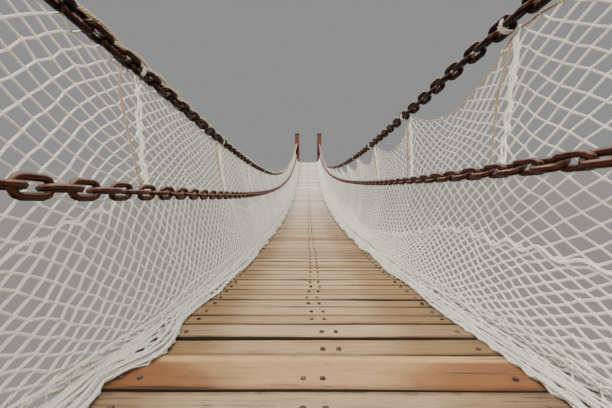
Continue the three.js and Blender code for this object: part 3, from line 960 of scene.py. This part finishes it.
class NetSheet:
    """A net as a surface over the place y along the bridge and a share of the way across it. The foot
    lies on the boards, and the rest hangs between the boards and the handrail chain."""

    def __init__(self, lines, nets, side):
        self.lines = lines
        self.side = side
        self.scallop = getattr(nets, f"{side}_scallop")
        self.waves = np.random.default_rng(NET_SEEDS[side]).uniform(0, math.tau, 8)

    def head(self, y):
        """Height of the net's head at the lashings, and how far it drops between them, which is a
        parabola's arc. It drops less before the known lashing than beyond it."""
        known, spacing = LASHINGS[self.side]
        share = np.mod((y - known) / spacing, 1)
        chain = self.lines.handrail(self.side, y)[1]
        deep = self.scallop * np.where(y < known, 0.35, 1.0)
        return chain + HEAD_LIFTS[self.side], deep * (4 * share * (1 - share)) ** 1.1

    def wall_foot(self, y):
        """Height at which the net leaves the boards."""
        return self.lines.deck(y) + FOOT_RISE

    def lean(self, y, share):
        """How far the net's rows have slid along the bridge, against the head: 1 - (1 - share)^3
        times a length, less share^4 times a shorter one. It fades towards both ends."""
        slid = 0.17 * (1 - (1 - share) ** 3) - 0.04 * share ** 4 - 0.13
        return slid * np.clip((self.lines.span.half_span - np.abs(y)) / 1.6, 0, 1)

    def seam(self, y):
        """Share of the wall at which the net's two widths meet: the lacing's height above the wall's
        foot, over the head's."""
        above = np.interp(y, *np.array(LACING[self.side]).T) - FOOT_RISE
        return above / (self.head(y)[0] - self.wall_foot(y))

    def foot(self, y, share):
        """The foot on the boards, from its inner edge at share 0 to the wall at 1: flat, with a
        hump in the middle."""
        y = y + self.lean(y, 0 * share)
        inner = foot_edge(self.side, y)
        x = inner + (FOOT_OUTSIDE + 0.004 - inner) * share
        z = self.lines.deck(y) + 0.006 + 0.016 * np.sin(np.pi * share * 0.8) + 0.012 * share
        return np.stack([SIDES[self.side] * x, y, z], -1)

    def wall(self, y, share):
        """The wall, from the foot at share 0 to the head at 1. The head's drop shortens the upper
        part only. Slow sine waves move it, and die out at the foot, the head and the ends."""
        half = self.lines.span.half_span
        w = self.waves
        calm = np.sin(np.pi * np.clip(share, 0, 1)) * np.clip((half - np.abs(y)) / 0.5, 0, 1)
        y = y + self.lean(y, share)
        y = y + calm * (0.014 * np.sin(4.1 * y + 3 * share + w[0]) + 0.007 * np.sin(9.7 * y + w[1])
                        + 0.002 * np.sin(23 * y + 7 * share + w[2]))
        rise = calm * (0.009 * np.sin(5.3 * y + w[3]) + 0.005 * np.sin(17 * y + 5 * share + w[4]))
        foot = self.wall_foot(y)
        head, drop = self.head(y)
        z = foot + (head - foot) * share - drop * smooth((share - 0.55) / 0.45) + rise
        out = self.lines.net(self.side, y, z) + calm * 0.006 * np.sin(6.3 * y + w[5])
        out = out - HEAD_TUCKS[self.side] * np.clip((share - 0.975) / 0.025, 0, 1)
        return np.stack([SIDES[self.side] * out, y, z], -1)


def net_shapes(lines, nets, side):
    """A lower width of net, which starts on the boards, and an upper one with longer diamonds that
    ends at the handrail. They meet at the lacing rope. They come as a near and a far half."""
    sheet = NetSheet(lines, nets, side)
    half = lines.span.half_span
    rng = np.random.default_rng(NET_SEEDS[side] + 1)
    halves = [[], []]
    for part in ("lower", "upper"):
        rows = getattr(nets, f"{side}_{part}_rows")
        columns = 4 * round(half / getattr(nets, f"{side}_{part}_mesh"))
        y = np.linspace(-half + NET_MARGIN, half - NET_MARGIN, columns + 1)[:, None]
        seam = sheet.seam(y)
        row = np.arange(rows)
        if part == "lower":
            weight = np.clip(0.45 + 0.045 * row, 0, 1)
            share = seam * np.concatenate([[0], np.cumsum(weight)]) / weight.sum()
            foot = sheet.foot(y, (np.arange(nets.foot_rows) / nets.foot_rows)[None, :])
            knots = np.concatenate([foot, sheet.wall(y, share)], 1)
            first_tied = nets.foot_rows - 2
        else:
            weight = 0.8 + 0.3 * np.sin(np.pi * (row + 0.5) / rows)
            share = seam + (1 - seam) * np.concatenate([[0], np.cumsum(weight)]) / weight.sum()
            knots = sheet.wall(y, share)
            first_tied = 0
        stiff = np.clip(0.4 + np.arange(knots.shape[1]) / 24, 0, 1)[None, :, None]
        loose = rng.normal(0, 1, knots.shape) * (0.0010, 0.0036, 0.0024) * stiff
        knots = knots + np.clip(loose, -0.007, 0.007)
        for j, shape in enumerate(knotted_strands(knots, nets, first_tied, rng)):
            halves[j].append(shape)
    return [together(shapes) for shapes in halves]


def knotted_strands(knots, nets, first_tied, rng):
    """Zigzag strands through a grid of knots, one above the other. Each turns at knots that it shares
    with its neighbours, so they form diamonds. A knot is two three-sided cones, base to base."""
    columns, rows = knots.shape[0] - 1, knots.shape[1] - 1
    column = np.arange(columns + 1)[None, :]
    strand = np.arange(rows)[:, None]
    paths = knots[column, strand + (column + strand) % 2]
    lots = rng.uniform(0, 1, rows)
    corners = np.array([[0, 1.15, 0], [0, -1.15, 0], [0, 0, 1], [0.87, 0, -0.5], [-0.87, 0, -0.5]])
    triangles = np.array([[0, 2, 3], [0, 3, 4], [0, 4, 2], [1, 3, 2], [1, 4, 3], [1, 2, 4]])
    knot = Shape(corners * nets.knot / 2, [triangles])
    shapes = []
    for first, last in ((0, columns // 2), (columns // 2, columns)):
        strands = tubes(paths[:, first:last + 1], nets.strand / 2, 3, (1, 0, 0), lots=lots)
        i, r = np.nonzero((np.arange(first, last)[:, None] + np.arange(rows + 1)) % 2 == 0)
        keep = (i + first > 0) & (r >= first_tied)
        i, r = i[keep] + first, r[keep]
        axes = np.eye(3)[None] * (1 + 0.15 * rng.uniform(-1, 1, len(i)))[:, None, None]
        tied = knot.copies(axes, knots[i, r], rng.uniform(0, 1, len(i)))
        shapes.append(together([strands, tied]))
    return shapes


def foot_rope_shape(lines, side, seed):
    """The cords that gather the net's foot. Each runs along the boards, and its share of the way from
    the foot's inner edge to the wall wavers slowly. Past the wall's foot they climb it."""
    half = lines.span.half_span
    count, radius = 21, 0.0040
    y = np.linspace(-half + NET_MARGIN, half - NET_MARGIN, 321)[None, :]
    rng = np.random.default_rng(seed)
    phase = rng.uniform(0, math.tau, (4, count, 1))
    start = (np.arange(count)[:, None] + 0.5) / count * 1.15
    share = start + 0.06 * np.sin(2.9 * y + phase[0]) + 0.035 * np.sin(8.3 * y + phase[1])
    share = np.clip(share, 0, 1.18)
    inner = foot_edge(side, y)
    x = inner + (FOOT_OUTSIDE - inner) * share
    pile = 0.5 + 0.5 * np.sin(5.3 * y + phase[2])
    z = lines.deck(y) + 0.009 + 0.020 * pile * np.sin(np.pi * (0.1 + 0.8 * share)) + 0.010 * share
    z = z + 0.30 * np.maximum(share - 0.98, 0)
    paths = np.stack([SIDES[side] * x, np.broadcast_to(y, x.shape), z], -1)
    return tubes(paths, radius, 3, (1, 0, 0), lots=rng.uniform(0, 1, count))


def coil_path(centre, along, across, radius, turns, pitch, points):
    """A helix: centre + radius (a cos t + b sin t) + along pitch t, with a and b square to along."""
    t = np.linspace(0, math.tau * turns, points)[None, :, None]
    a = across[:, None]
    b = np.cross(along, across)[:, None]
    climb = (t / math.tau - turns / 2) * pitch
    return centre[:, None] + radius * (a * np.cos(t) + b * np.sin(t)) + along[:, None] * climb


def twisted_cords(lines, y):
    """Two cords that twist round each other on the upper inner side of the left handrail chain: a
    small circle's two sides, turned about once in a third of a metre."""
    x, z = lines.handrail("left", y)
    lay = y * math.tau / 0.34 + 1.1 * np.sin(y * 3.7)
    apart = 0.0080 + 0.0025 * np.sin(y * 2.3 + 0.6)
    inward = x + 0.013 + 0.003 * np.sin(y * 4.3)
    above = z + 0.021 + 0.002 * np.sin(y * 11)
    return np.array([
        np.stack([inward + apart * np.cos(lay + turn), y, above + apart * np.sin(lay + turn)], -1)
        for turn in (0, math.pi)])


def stray_cords(lines, sheet, side):
    """A single cord from each lashing to the lower chain, which stands aside from it."""
    tie = lashing_places(side, lines.span.half_span)[:, None]
    share = np.linspace(0, 1, 20)[None, :]
    deck = lines.deck(tie)
    low = (lines.lower(side, tie)[1] - deck) / (lines.handrail(side, tie)[1] - deck)
    high_aside, low_aside = STRAY_CORDS[side]
    aside = (high_aside + (low_aside - high_aside) * share) * np.clip(share / 0.25, 0, 1) ** 0.6
    cords = sheet.wall(tie + aside, 1 - share * (1 - low))
    cords[..., 0] -= SIDES[side] * 0.004
    return cords


def chain_wraps(lines, chains, side):
    """Six cords that wrap the handrail chain beyond mid-span: long uneven helices on a circle as
    wide as the links."""
    y = np.linspace(0.2, lines.span.half_span - 0.05, 240)[None, :]
    number = np.arange(6)[:, None]
    turn = math.tau * number / 6 + y * 2.6 + 0.5 * np.sin(9 * y + number)
    x, z = lines.handrail(side, y)
    radius = chains.link_width / 2
    return np.stack([x + radius * np.cos(turn), y + 0 * turn, z + radius * np.sin(turn)], -1)


def handrail_ropes(lines, nets, chains, side):
    """Ropes along a handrail: on the left two twisted cords, and on both sides the net's head rope,
    which hangs in scallops, a single cord from each lashing, and cords round the chain beyond
    mid-span."""
    half = lines.span.half_span
    y = np.linspace(-half + 0.05, half - 0.05, 620)
    sheet = NetSheet(lines, nets, side)
    head = sheet.wall(y, np.ones_like(y))
    head[:, 2] += 0.003 * np.sin(math.tau * y / 0.16)
    radius = nets.rope / 2
    across = (1, 0, 0)
    twisted = [tubes(twisted_cords(lines, y), radius * 1.3, 5, across)] if side == "left" else []
    return together([
        *twisted,
        tubes(head[None], radius * 0.9, 5, across),
        tubes(stray_cords(lines, sheet, side), radius, 4, across),
        tubes(chain_wraps(lines, chains, side), radius, 4, across, lots=np.arange(6) / 6)])


def lashings(lines, nets, chains, side, seed):
    """Two and a half turns of cord, drawn tight round the handrail chain at each tie."""
    half = lines.span.half_span
    rng = np.random.default_rng(seed)
    at = lashing_places(side, half)
    at = at + rng.uniform(-0.01, 0.01, len(at))
    x, z = lines.handrail(side, at)
    ahead = np.stack(lines.handrail(side, at + 0.05), -1)
    along = unit(np.stack([ahead[:, 0] - x, np.full(len(at), 0.05), ahead[:, 1] - z], -1))
    centre = np.stack([x, at, z - 0.003], -1)
    across = unit(np.cross(along, (0, 0, 1)))
    radius = chains.link_width / 2 - 0.008
    turns = coil_path(centre, along, across, radius, turns=2.5, pitch=0.008, points=44)
    return tubes(turns, nets.rope / 2 * 0.8, 4, along[:, None])


def hanger_ropes(lines, nets, side):
    """Seams at each tie, from the handrail to the lower chain: two cords side by side, and a third
    laced round them in a zigzag."""
    at = lashing_places(side, lines.span.half_span)[:, None]
    rng = np.random.default_rng(NET_SEEDS[side])
    top_aside, low_aside = SEAMS[side]
    sheet = NetSheet(lines, nets, side)
    foot = sheet.wall_foot(at)
    crossing = (lines.lower(side, at)[1] - foot) / (sheet.head(at)[0] - foot)
    share = np.linspace(0, 1, 48)[None, :]
    cords = []
    for shift, swing, waves in ((-0.008, 0.003, 3), (0.008, 0.003, 4), (0.0, 0.018, 6)):
        weave = np.sin(math.tau * waves * share + rng.uniform(0, math.tau, (len(at), 1)))
        aside = top_aside + (low_aside - top_aside) * (1 - (1 - share) ** 2)
        y = at + aside + (shift + swing * weave) * np.clip(share / 0.05, 0, 1)
        path = sheet.wall(y, 1.0 - share * (1 - crossing))
        path[..., 0] -= SIDES[side] * (0.005 + 0.003 * weave)
        cords.append(path)
    return tubes(np.concatenate(cords), nets.rope / 2 * 0.8, 4, (1, 0, 0))


def lacing_rope(lines, nets, side):
    """The wavy rope that laces the two widths of net together: it follows the line where they meet,
    with a sine wave about one and a half meshes long."""
    half = lines.span.half_span
    y = np.linspace(-half + 0.03, half - 0.03, 1500)
    sheet = NetSheet(lines, nets, side)
    height = sheet.head(y)[0] - lines.deck(y)
    wave = np.sin(math.tau * y / 0.140 + 0.9 * np.sin(y * 3.1)) * (0.75 + 0.25 * np.sin(y * 5.7))
    path = sheet.wall(y, sheet.seam(y) + 0.015 * wave / height)
    path[:, 0] -= SIDES[side] * 0.008
    return tubes(path[None], nets.rope / 2 * 0.95, 4, (1, 0, 0))


# End frames

# Half the width of a drying crack, as a share of half a timber's face
CRACK_HALF = 0.035


def timber_shape(size_x, size_y, arris, levels, cracks, seed):
    """A squared timber as a loft of its section up Z. levels holds (height, share of the full size).
    The section is a rectangle with rounded corners, wavers a little, and drying cracks run up its
    faces as narrow grooves that open and close."""
    rng = np.random.default_rng(seed)
    height, share = np.array(levels, float).T
    face = np.arange(4)[:, None] * math.pi / 2
    out = np.stack([np.cos(face), np.sin(face)], -1)
    along = np.stack([-np.sin(face), np.cos(face)], -1)

    # Eight places along each face: one corner, the crack's edge, floor and edge, the other corner,
    # and the three that round that corner off
    place = np.tile([-0.8, -CRACK_HALF, 0, CRACK_HALF, 0.8, 1, 1, 1], (4, 1))
    place[:, 1:4] += rng.uniform(-0.55, 0.55, (4, 1))
    cut_out = arris * np.array([0, 0, 0, 0, 0, 0, 0.35, 1])[:, None]
    cut_along = arris * np.array([0, 0, 0, 0, 0, 1, 0.65, 0])[:, None]
    half = np.array([size_x, size_y]) / 2
    ring = (out + along * place[..., None]) * half - out * cut_out - along * cut_along
    ring = ring.reshape(-1, 2)

    wave = np.sin(height[:, None] * rng.uniform(1.2, 2.2, 4) + rng.uniform(0, 6, 4))
    depth = cracks * np.clip(wave, 0, 1)
    wobble = 0.0012 * np.sin(height[:, None] * 3.3 + rng.uniform(0, 6, len(ring)))
    xy = ring * share[:, None, None] * (1 + wobble[..., None] / half.min())
    xy[:, 2::8] -= out[:, 0] * depth[..., None]
    z = np.broadcast_to(height[:, None, None], xy.shape[:2] + (1,))
    return np.concatenate([xy, z], -1)


def timber_at(rings, place, axes=None):
    """A timber's rings as a solid at a place, turned by axes."""
    turned = rings if axes is None else rings @ np.asarray(axes, float)
    return lofts((turned + np.asarray(place, float))[None])


def timber_levels(low_end, length, high_end, steps, margin):
    """Levels of a timber: its two ends, each a list of (height from that end, share of the full
    size), and even steps between them."""
    middle = [(z, 1) for z in np.linspace(margin, length - margin, steps)]
    return [*low_end, *middle, *((length - z, share) for z, share in reversed(high_end))]


def bolt_head():
    """A domed hexagon bolt head on a washer, as one six-sided solid."""
    return six_sided([[0.020, 0.0], [0.020, 0.003], [0.0135, 0.0033], [0.0132, 0.011],
                      [0.010, 0.0135]])


def shackle_shape():
    """A shackle: a bow round the chain's last link, two eyes, and a pin across. The bow opens along
    the second axis, and its pin lies along the first, through the origin."""
    arc = np.linspace(0, math.pi, 9)
    width = 0.0165
    round_end = [[width * math.cos(a), -0.030 - width * math.sin(a), 0] for a in arc]
    bow = np.array([[width, 0.004, 0], *round_end, [-width, 0.004, 0]])
    pin = np.array([[x, 0, 0] for x in (-0.034, -0.026, -0.0258, 0.0258, 0.026, 0.031)])
    pin_radius = np.array([[0.011, 0.011, 0.0065, 0.0065, 0.010, 0.010]])
    return together([tubes(bow[None], 0.0062, 8, (0, 0, 1)), tubes(pin[None], pin_radius, 8, (0, 0, 1))])


# Stage

FLOOR_REACH = 60.0
FLOOR_HEIGHT = -0.002
ROOM_COLOUR = (0.86, 0.87, 0.86, 1)
ROOM_STRENGTH = 0.34
LAMP_COLOUR = (1.0, 0.97, 0.92)

# Each lamp's turn in degrees, its strength, and how wide it looks in radians
LAMPS = {
    "key": ((34, -8, -12), 2.0, 0.5),
    "overhead": ((-8, 0, 0), 2.2, 1.0),
    "left_fill": ((84, 0, -60), 4.0, 0.5),
    "right_fill": ((84, 0, 60), 4.0, 0.5),
    "back": ((-52, 0, 8), 0.5, 0.3)}

# The camera: its place, its turn down and to the left in radians, and its lens in millimetres
CAMERA_PLACE = (-0.037, -8.63, 1.655)
CAMERA_DOWN = 0.1365
CAMERA_ASIDE = 0.0045
CAMERA_LENS = 19.0
SENSOR_WIDTH = 36


# Operators

class FootbridgePart:
    """What the operators share."""

    bl_options = {"REGISTER", "UNDO"}

    def parts(self, context):
        """The settings, the bridge's lines and the colours."""
        settings = context.scene.footbridge
        return settings, Lines(settings.span), settings.finish


class FOOTBRIDGE_OT_boards(FootbridgePart, bpy.types.Operator):
    """Lay the boards of the walkway and both landings"""

    bl_idname = "footbridge.boards"
    bl_label = "Boards"

    def execute(self, context):
        s, lines, colours = self.parts(context)
        material = board_finish(colours)
        edges, gaps, stains = board_edges(lines, s.boards)
        half_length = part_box("deck_bay_1")[1].x
        bay_ends = np.linspace(-1, 1, BAYS + 1) * s.span.deck_half_length
        cuts = [np.abs(edges - end).argmin() for end in bay_ends]
        for k, (a, b) in enumerate(zip(cuts, cuts[1:])):
            shape = board_shapes(edges[a:b + 1], gaps[a:b + 1], stains[a:b], half_length, lines,
                                 s.boards, seed=20 + k)
            add_piece(f"deck_boards_{k + 1}", shape, material,
                      [f"deck_bay_{k + 1}"], smooth_faces=False)
        for name, sign in ENDS.items():
            low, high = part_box(f"{name}_landing")
            shape = board_shapes(
                np.linspace(low.y, high.y, LANDING_BOARDS + 1), np.full((LANDING_BOARDS + 1, 2), 0.004),
                np.full(LANDING_BOARDS, 0.2), high.x, lines, s.boards, seed=40 + sign,
                flat_top=high.z - 0.003)
            add_piece(f"{name}_landing_boards", shape, material,
                      [f"{name}_landing"], smooth_faces=False)
        return {"FINISHED"}


class FOOTBRIDGE_OT_chains(FootbridgePart, bpy.types.Operator):
    """Link the four side chains and the three deck chains"""

    bl_idname = "footbridge.chains"
    bl_label = "Chains"

    def execute(self, context):
        s, lines, colours = self.parts(context)
        # worn is the colour of the dust and painted highlight on the chains' tops
        dark, worn = shade(colours.dark_rust, 0.6), colours.worn_steel_and_highlight
        handrail_rust = rust_finish("handrail_rust", dark, shade(colours.rust, 0.5), worn,
                                    worn=1.15, gloss=1.0, top=0.56, red=0.30)
        lower_rust = rust_finish("lower_chain_rust", dark, shade(colours.rust, 0.85), worn,
                                 worn=1.25, gloss=0.8, top=0.50, red=0.60)
        half = s.span.half_span
        for k, side in enumerate(SIDES):
            upper_twist, lower_twist = CHAIN_TWISTS[side]
            pitch = getattr(s.chains, f"{side}_handrail_pitch")
            shape = side_chain(lambda y: lines.handrail(side, y), half, s.chains, s.chains.bar,
                               pitch, upper_twist, seed=51 + k)
            nodes = [f"{side}_handrail_chain_{n + 1}" for n in range(PANELS)]
            add_piece(f"{side}_handrail_links", shape, handrail_rust, nodes)
            pitch, bar = (getattr(s.chains, f"{side}_lower_{size}") for size in ("pitch", "bar"))
            shape = side_chain(lambda y: lines.lower(side, y), half, s.chains, bar, pitch,
                               lower_twist, seed=61 + k)
            add_piece(f"{side}_lower_links", shape, lower_rust, [f"{side}_lower_chain"])
        bolts = bolt_places(lines, s.boards)
        for name in DECK_CHAINS:
            shape = deck_chain(lines, s.chains, deck_chain_x(name), bolts)
            add_piece(f"{name}_deck_links", shape, lower_rust, [f"{name}_deck_chain"])
        return {"FINISHED"}


def deck_chain_x(name):
    """Place across the bridge of a deck chain, as a function of the place along it. The outer ones
    stand aside a little near the camera, and all run straight into their plates."""
    middle = box_middle(f"{name}_deck_chain")[0]

    def x_at(y):
        calm = np.clip((CHAIN_END - np.abs(y)) / 0.6, 0, 1)
        aside = 0.012 * np.clip((-6.0 - y) / 2.0, 0, 1) + 0.004 * np.sin(y * 3.7 + 9 * middle)
        return middle + calm * (chain_wander(y) if name == "middle" else aside)

    return x_at


class FOOTBRIDGE_OT_board_bolts(FootbridgePart, bpy.types.Operator):
    """Hold each board to the deck chains with U-bolts"""

    bl_idname = "footbridge.board_bolts"
    bl_label = "U-bolts"

    def execute(self, context):
        s, lines, colours = self.parts(context)
        material = rust_finish("bolt_steel", shade(colours.dark_rust, 6), colours.bolt,
                               colours.worn_steel_and_highlight, worn=0.3, gloss=0.3)
        at = bolt_places(lines, s.boards)
        rng = np.random.default_rng(9)
        axes = slope_axes(lines.deck_slope(at))
        both = np.concatenate([axes, axes])
        nut, rod = nut_shape(), u_bolt_shape(s.boards)
        for name in DECK_CHAINS:
            place = np.stack([deck_chain_x(name)(at), at, lines.deck(at)], -1)
            nuts = [place + axes[:, 0] * leg * s.boards.leg_spacing / 2 for leg in (-1, 1)]
            turn = rng.uniform(0, math.tau, 2 * len(at))
            cosine, sine = np.cos(turn)[:, None], np.sin(turn)[:, None]
            spun = np.stack([cosine * both[:, 0] + sine * both[:, 1],
                             cosine * both[:, 1] - sine * both[:, 0], both[:, 2]], 1)
            lots = rng.uniform(0, 1, 2 * len(at))
            shape = together([nut.copies(spun, np.concatenate(nuts), lots), rod.copies(axes, place)])
            add_piece(f"{name}_u_bolts", shape, material, smooth_faces=False)
        return {"FINISHED"}


class FOOTBRIDGE_OT_nets(FootbridgePart, bpy.types.Operator):
    """Knot the net of each side and gather its foot"""

    bl_idname = "footbridge.nets"
    bl_label = "Nets"

    def execute(self, context):
        s, lines, colours = self.parts(context)
        ropes = colours.rope, colours.rope_soil
        strand = rope_finish("net_strand", *ropes, soil=0.12, lay=0.016, relief=0.5)
        foot = rope_finish("foot_strand", *ropes, soil=0.05, lay=0.03, relief=0.6)
        for k, side in enumerate(SIDES):
            for j, (end, shape) in enumerate(zip(ENDS, net_shapes(lines, s.nets, side))):
                nodes = [f"{side}_net_{n + 1 + j * PANELS // 2}" for n in range(PANELS // 2)]
                add_piece(f"{side}_{end}_net", shape, strand, nodes)
            shape = foot_rope_shape(lines, side, seed=81 + k)
            add_piece(f"{side}_foot_bundle", shape, foot, [f"{side}_foot_rope"])
        return {"FINISHED"}


class FOOTBRIDGE_OT_ropes(FootbridgePart, bpy.types.Operator):
    """Add the head ropes, lashings, seams and lacing of the nets"""

    bl_idname = "footbridge.ropes"
    bl_label = "Ropes and lashings"

    def execute(self, context):
        s, lines, colours = self.parts(context)
        soiled = colours.rope_soil
        tan = rope_finish("handrail_rope", colours.tan_rope, shade(soiled, 0.7),
                          soil=0.6, lay=0.04, relief=1.6)
        grey = rope_finish("lashing_cord", shade(colours.rope, 0.52), soiled, soil=0.5, lay=0.03)
        white = rope_finish("lacing_rope", shade(colours.rope, 1.08), soiled,
                            soil=0.0, lay=0.035, relief=0.5)
        for k, side in enumerate(SIDES):
            for name, shape, material in (
                ("handrail_ropes", handrail_ropes(lines, s.nets, s.chains, side), tan),
                ("lashings", lashings(lines, s.nets, s.chains, side, seed=95 + k), grey),
                ("hangers", hanger_ropes(lines, s.nets, side), white),
                ("lacing", lacing_rope(lines, s.nets, side), white),
            ):
                add_piece(f"{side}_{name}", shape, material)
        return {"FINISHED"}


class FOOTBRIDGE_OT_end_frames(FootbridgePart, bpy.types.Operator):
    """Set up the posts, caps, sills and chain fixings of both ends"""

    bl_idname = "footbridge.end_frames"
    bl_label = "End frames"

    def execute(self, context):
        c = context.scene.footbridge.finish
        post_wood = timber_finish("post_timber", c.post, c.post_worn, c.cap, wear=0.35, grain=2)
        cap_wood = timber_finish("cap_timber", c.cap, c.post_worn, c.cap, wear=0.1, grain=1)
        sill_wood = timber_finish("sill_timber", c.board, c.board_pale, c.board_dirt_and_shade,
                                  wear=0.5, grain=0)
        steel = rust_finish("fixing_steel", c.dark_rust, c.rust, c.worn_steel_and_highlight, worn=0.5, gloss=0.4)
        for k, (end, sign) in enumerate(ENDS.items()):
            for j, side in enumerate(SIDES):
                self.add_post(f"{end}_{side}_post", post_wood, seed=100 + 10 * k + j)
                self.add_cap(f"{end}_{side}_cap", cap_wood, seed=120 + 10 * k + j)
            self.add_sill(f"{end}_sill", sill_wood, seed=140 + k)
            self.add_fixings(end, sign, steel)
        for name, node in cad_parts.items():
            if name.endswith("chain_plate"):
                node.data.materials.clear()
                node.data.materials.append(steel)
        return {"FINISHED"}

    def add_post(self, node, material, seed):
        low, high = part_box(node)
        size = high - low
        levels = timber_levels([(0, 0.985), (0.008, 1)], size.z, [(0, 0.99), (0.006, 1)], 24, 0.12)
        rings = timber_shape(size.x, size.y, 0.014, levels, 0.012, seed)
        place = (*box_middle(node)[:2], low.z)
        add_piece(f"{node}_timber", timber_at(rings, place), material, [node],
                  smooth_faces=False)

    def add_cap(self, node, material, seed):
        low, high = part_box(node)
        size = high - low
        levels = [(0, 0.965), (0.006, 1), (0.030, 1), (0.046, 0.985),
                  (size.z - 0.004, 0.72), (size.z, 0.66)]
        rings = timber_shape(size.x, size.y, 0.010, levels, 0.0, seed)
        place = (*box_middle(node)[:2], low.z)
        add_piece(f"{node}_block", timber_at(rings, place), material, [node],
                  smooth_faces=False)

    def add_sill(self, node, material, seed):
        low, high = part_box(node)
        size = high - low
        ends = [(0, 0.98), (0.006, 1)]
        levels = timber_levels(ends, size.x, ends, 9, 0.1)
        rings = timber_shape(size.y, size.z, 0.010, levels, 0.008, seed)
        place = (low.x, *box_middle(node)[1:])
        along_x = [[0, 1, 0], [0, 0, 1], [1, 0, 0]]
        add_piece(f"{node}_beam", timber_at(rings, place, along_x), material, [node],
                  smooth_faces=False)

    def add_fixings(self, end, sign, material):
        """Shackles at the chain ends and bolt heads on the plates."""
        heads = []
        eyes = []
        for side in SIDES:
            low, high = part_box(f"{end}_{side}_chain_plate")
            x, _, level = box_middle(f"{end}_{side}_chain_plate")
            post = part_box(f"{end}_{side}_post")
            y = (post[0].y if sign > 0 else post[1].y) - sign * (PLATE_THICKNESS + 0.0002)
            across = (high.x - low.x) / 2 - 0.02
            for z in (low.z + 0.018, level, high.z - 0.018):
                heads += [(x - across, y, z), (x + across, y, z)]
            eyes += [(x, low.z + LINK_WIDTH / 2), (x, high.z - LINK_WIDTH / 2)]
        low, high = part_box(f"{end}_deck_chain_plate")
        y = (high.y if sign > 0 else low.y) - sign * PLATE_THICKNESS
        level = (low.z + high.z) / 2
        heads += [(x, y, level) for x in (-0.47, -0.25, -0.18, 0.18, 0.25, 0.47)]
        eyes += [(box_middle(f"{name}_deck_chain")[0], level) for name in DECK_CHAINS]

        facing_in = np.array([[sign, 0, 0], [0, 0, 1], [0, -sign, 0]], float)
        along_chain = np.diag([sign, sign, 1.0])
        pins = np.array([(x, sign * (CHAIN_END + SHACKLE_REACH), z) for x, z in eyes])
        shape = together([
            bolt_head().copies(np.tile(facing_in, (len(heads), 1, 1)), np.array(heads)),
            shackle_shape().copies(np.tile(along_chain, (len(pins), 1, 1)), pins)])
        add_piece(f"{end}_fixings", shape, material, smooth_faces=False)


class FOOTBRIDGE_OT_stage(FootbridgePart, bpy.types.Operator):
    """Set up the floor, the light and the camera"""

    bl_idname = "footbridge.stage"
    bl_label = "Stage"

    def execute(self, context):
        self.add_floor(context.scene, floor_finish(context.scene.footbridge.finish))
        self.add_light(context.scene)
        self.add_camera(context.scene)
        return {"FINISHED"}

    def add_floor(self, scene, material):
        corners = [(x * FLOOR_REACH, y * FLOOR_REACH, FLOOR_HEIGHT)
                   for x, y in ((-1, -1), (1, -1), (1, 1), (-1, 1))]
        mesh = bpy.data.meshes.new("floor")
        mesh.from_pydata(corners, [], [(0, 1, 2, 3)])
        mesh.materials.append(material)
        floor = bpy.data.objects.new("floor", mesh)
        scene.collection.objects.link(floor)

    def add_light(self, scene):
        world = bpy.data.worlds.new("studio")
        world.use_nodes = True
        background = world.node_tree.nodes["Background"]
        background.inputs["Color"].default_value = ROOM_COLOUR
        background.inputs["Strength"].default_value = ROOM_STRENGTH
        scene.world = world
        for name, (turn, strength, spread) in LAMPS.items():
            lamp = bpy.data.lights.new(name, "SUN")
            lamp.energy = strength
            lamp.angle = spread
            lamp.color = LAMP_COLOUR
            holder = bpy.data.objects.new(name, lamp)
            holder.rotation_euler = [math.radians(angle) for angle in turn]
            scene.collection.objects.link(holder)

    def add_camera(self, scene):
        camera = bpy.data.cameras.new("camera")
        camera.sensor_width = SENSOR_WIDTH
        camera.lens = CAMERA_LENS
        camera.clip_start = 0.02
        camera.clip_end = 300
        holder = bpy.data.objects.new("camera", camera)
        holder.location = CAMERA_PLACE
        holder.rotation_euler = (math.pi / 2 - CAMERA_DOWN, 0, CAMERA_ASIDE)
        scene.collection.objects.link(holder)
        scene.camera = holder


class FOOTBRIDGE_PT_panel(bpy.types.Panel):
    """Buttons for each part of the footbridge"""

    bl_idname = "FOOTBRIDGE_PT_panel"
    bl_label = "Footbridge"
    bl_space_type = "VIEW_3D"
    bl_region_type = "UI"
    bl_category = "Footbridge"

    def draw(self, context):
        settings = context.scene.footbridge
        for name in ("span", "boards", "chains", "nets", "finish"):
            group = getattr(settings, name)
            box = self.layout.box()
            for prop in group.bl_rna.properties.keys():
                if prop not in ("rna_type", "name"):
                    box.prop(group, prop)
        for operator in OPERATORS:
            self.layout.operator(operator.bl_idname)


OPERATORS = (
    FOOTBRIDGE_OT_boards, FOOTBRIDGE_OT_chains, FOOTBRIDGE_OT_board_bolts, FOOTBRIDGE_OT_nets,
    FOOTBRIDGE_OT_ropes, FOOTBRIDGE_OT_end_frames, FOOTBRIDGE_OT_stage)
CLASSES = (
    SpanSettings, BoardSettings, ChainSettings, NetSettings, FinishSettings, FootbridgeSettings,
    *OPERATORS, FOOTBRIDGE_PT_panel)


def register():
    for each in CLASSES:
        bpy.utils.register_class(each)
    bpy.types.Scene.footbridge = PointerProperty(type=FootbridgeSettings)


def unregister():
    del bpy.types.Scene.footbridge
    for each in reversed(CLASSES):
        bpy.utils.unregister_class(each)


def main():
    register()
    for operator in OPERATORS:
        group, name = operator.bl_idname.split(".")
        getattr(getattr(bpy.ops, group), name)()


if __name__ == "__main__":
    main()
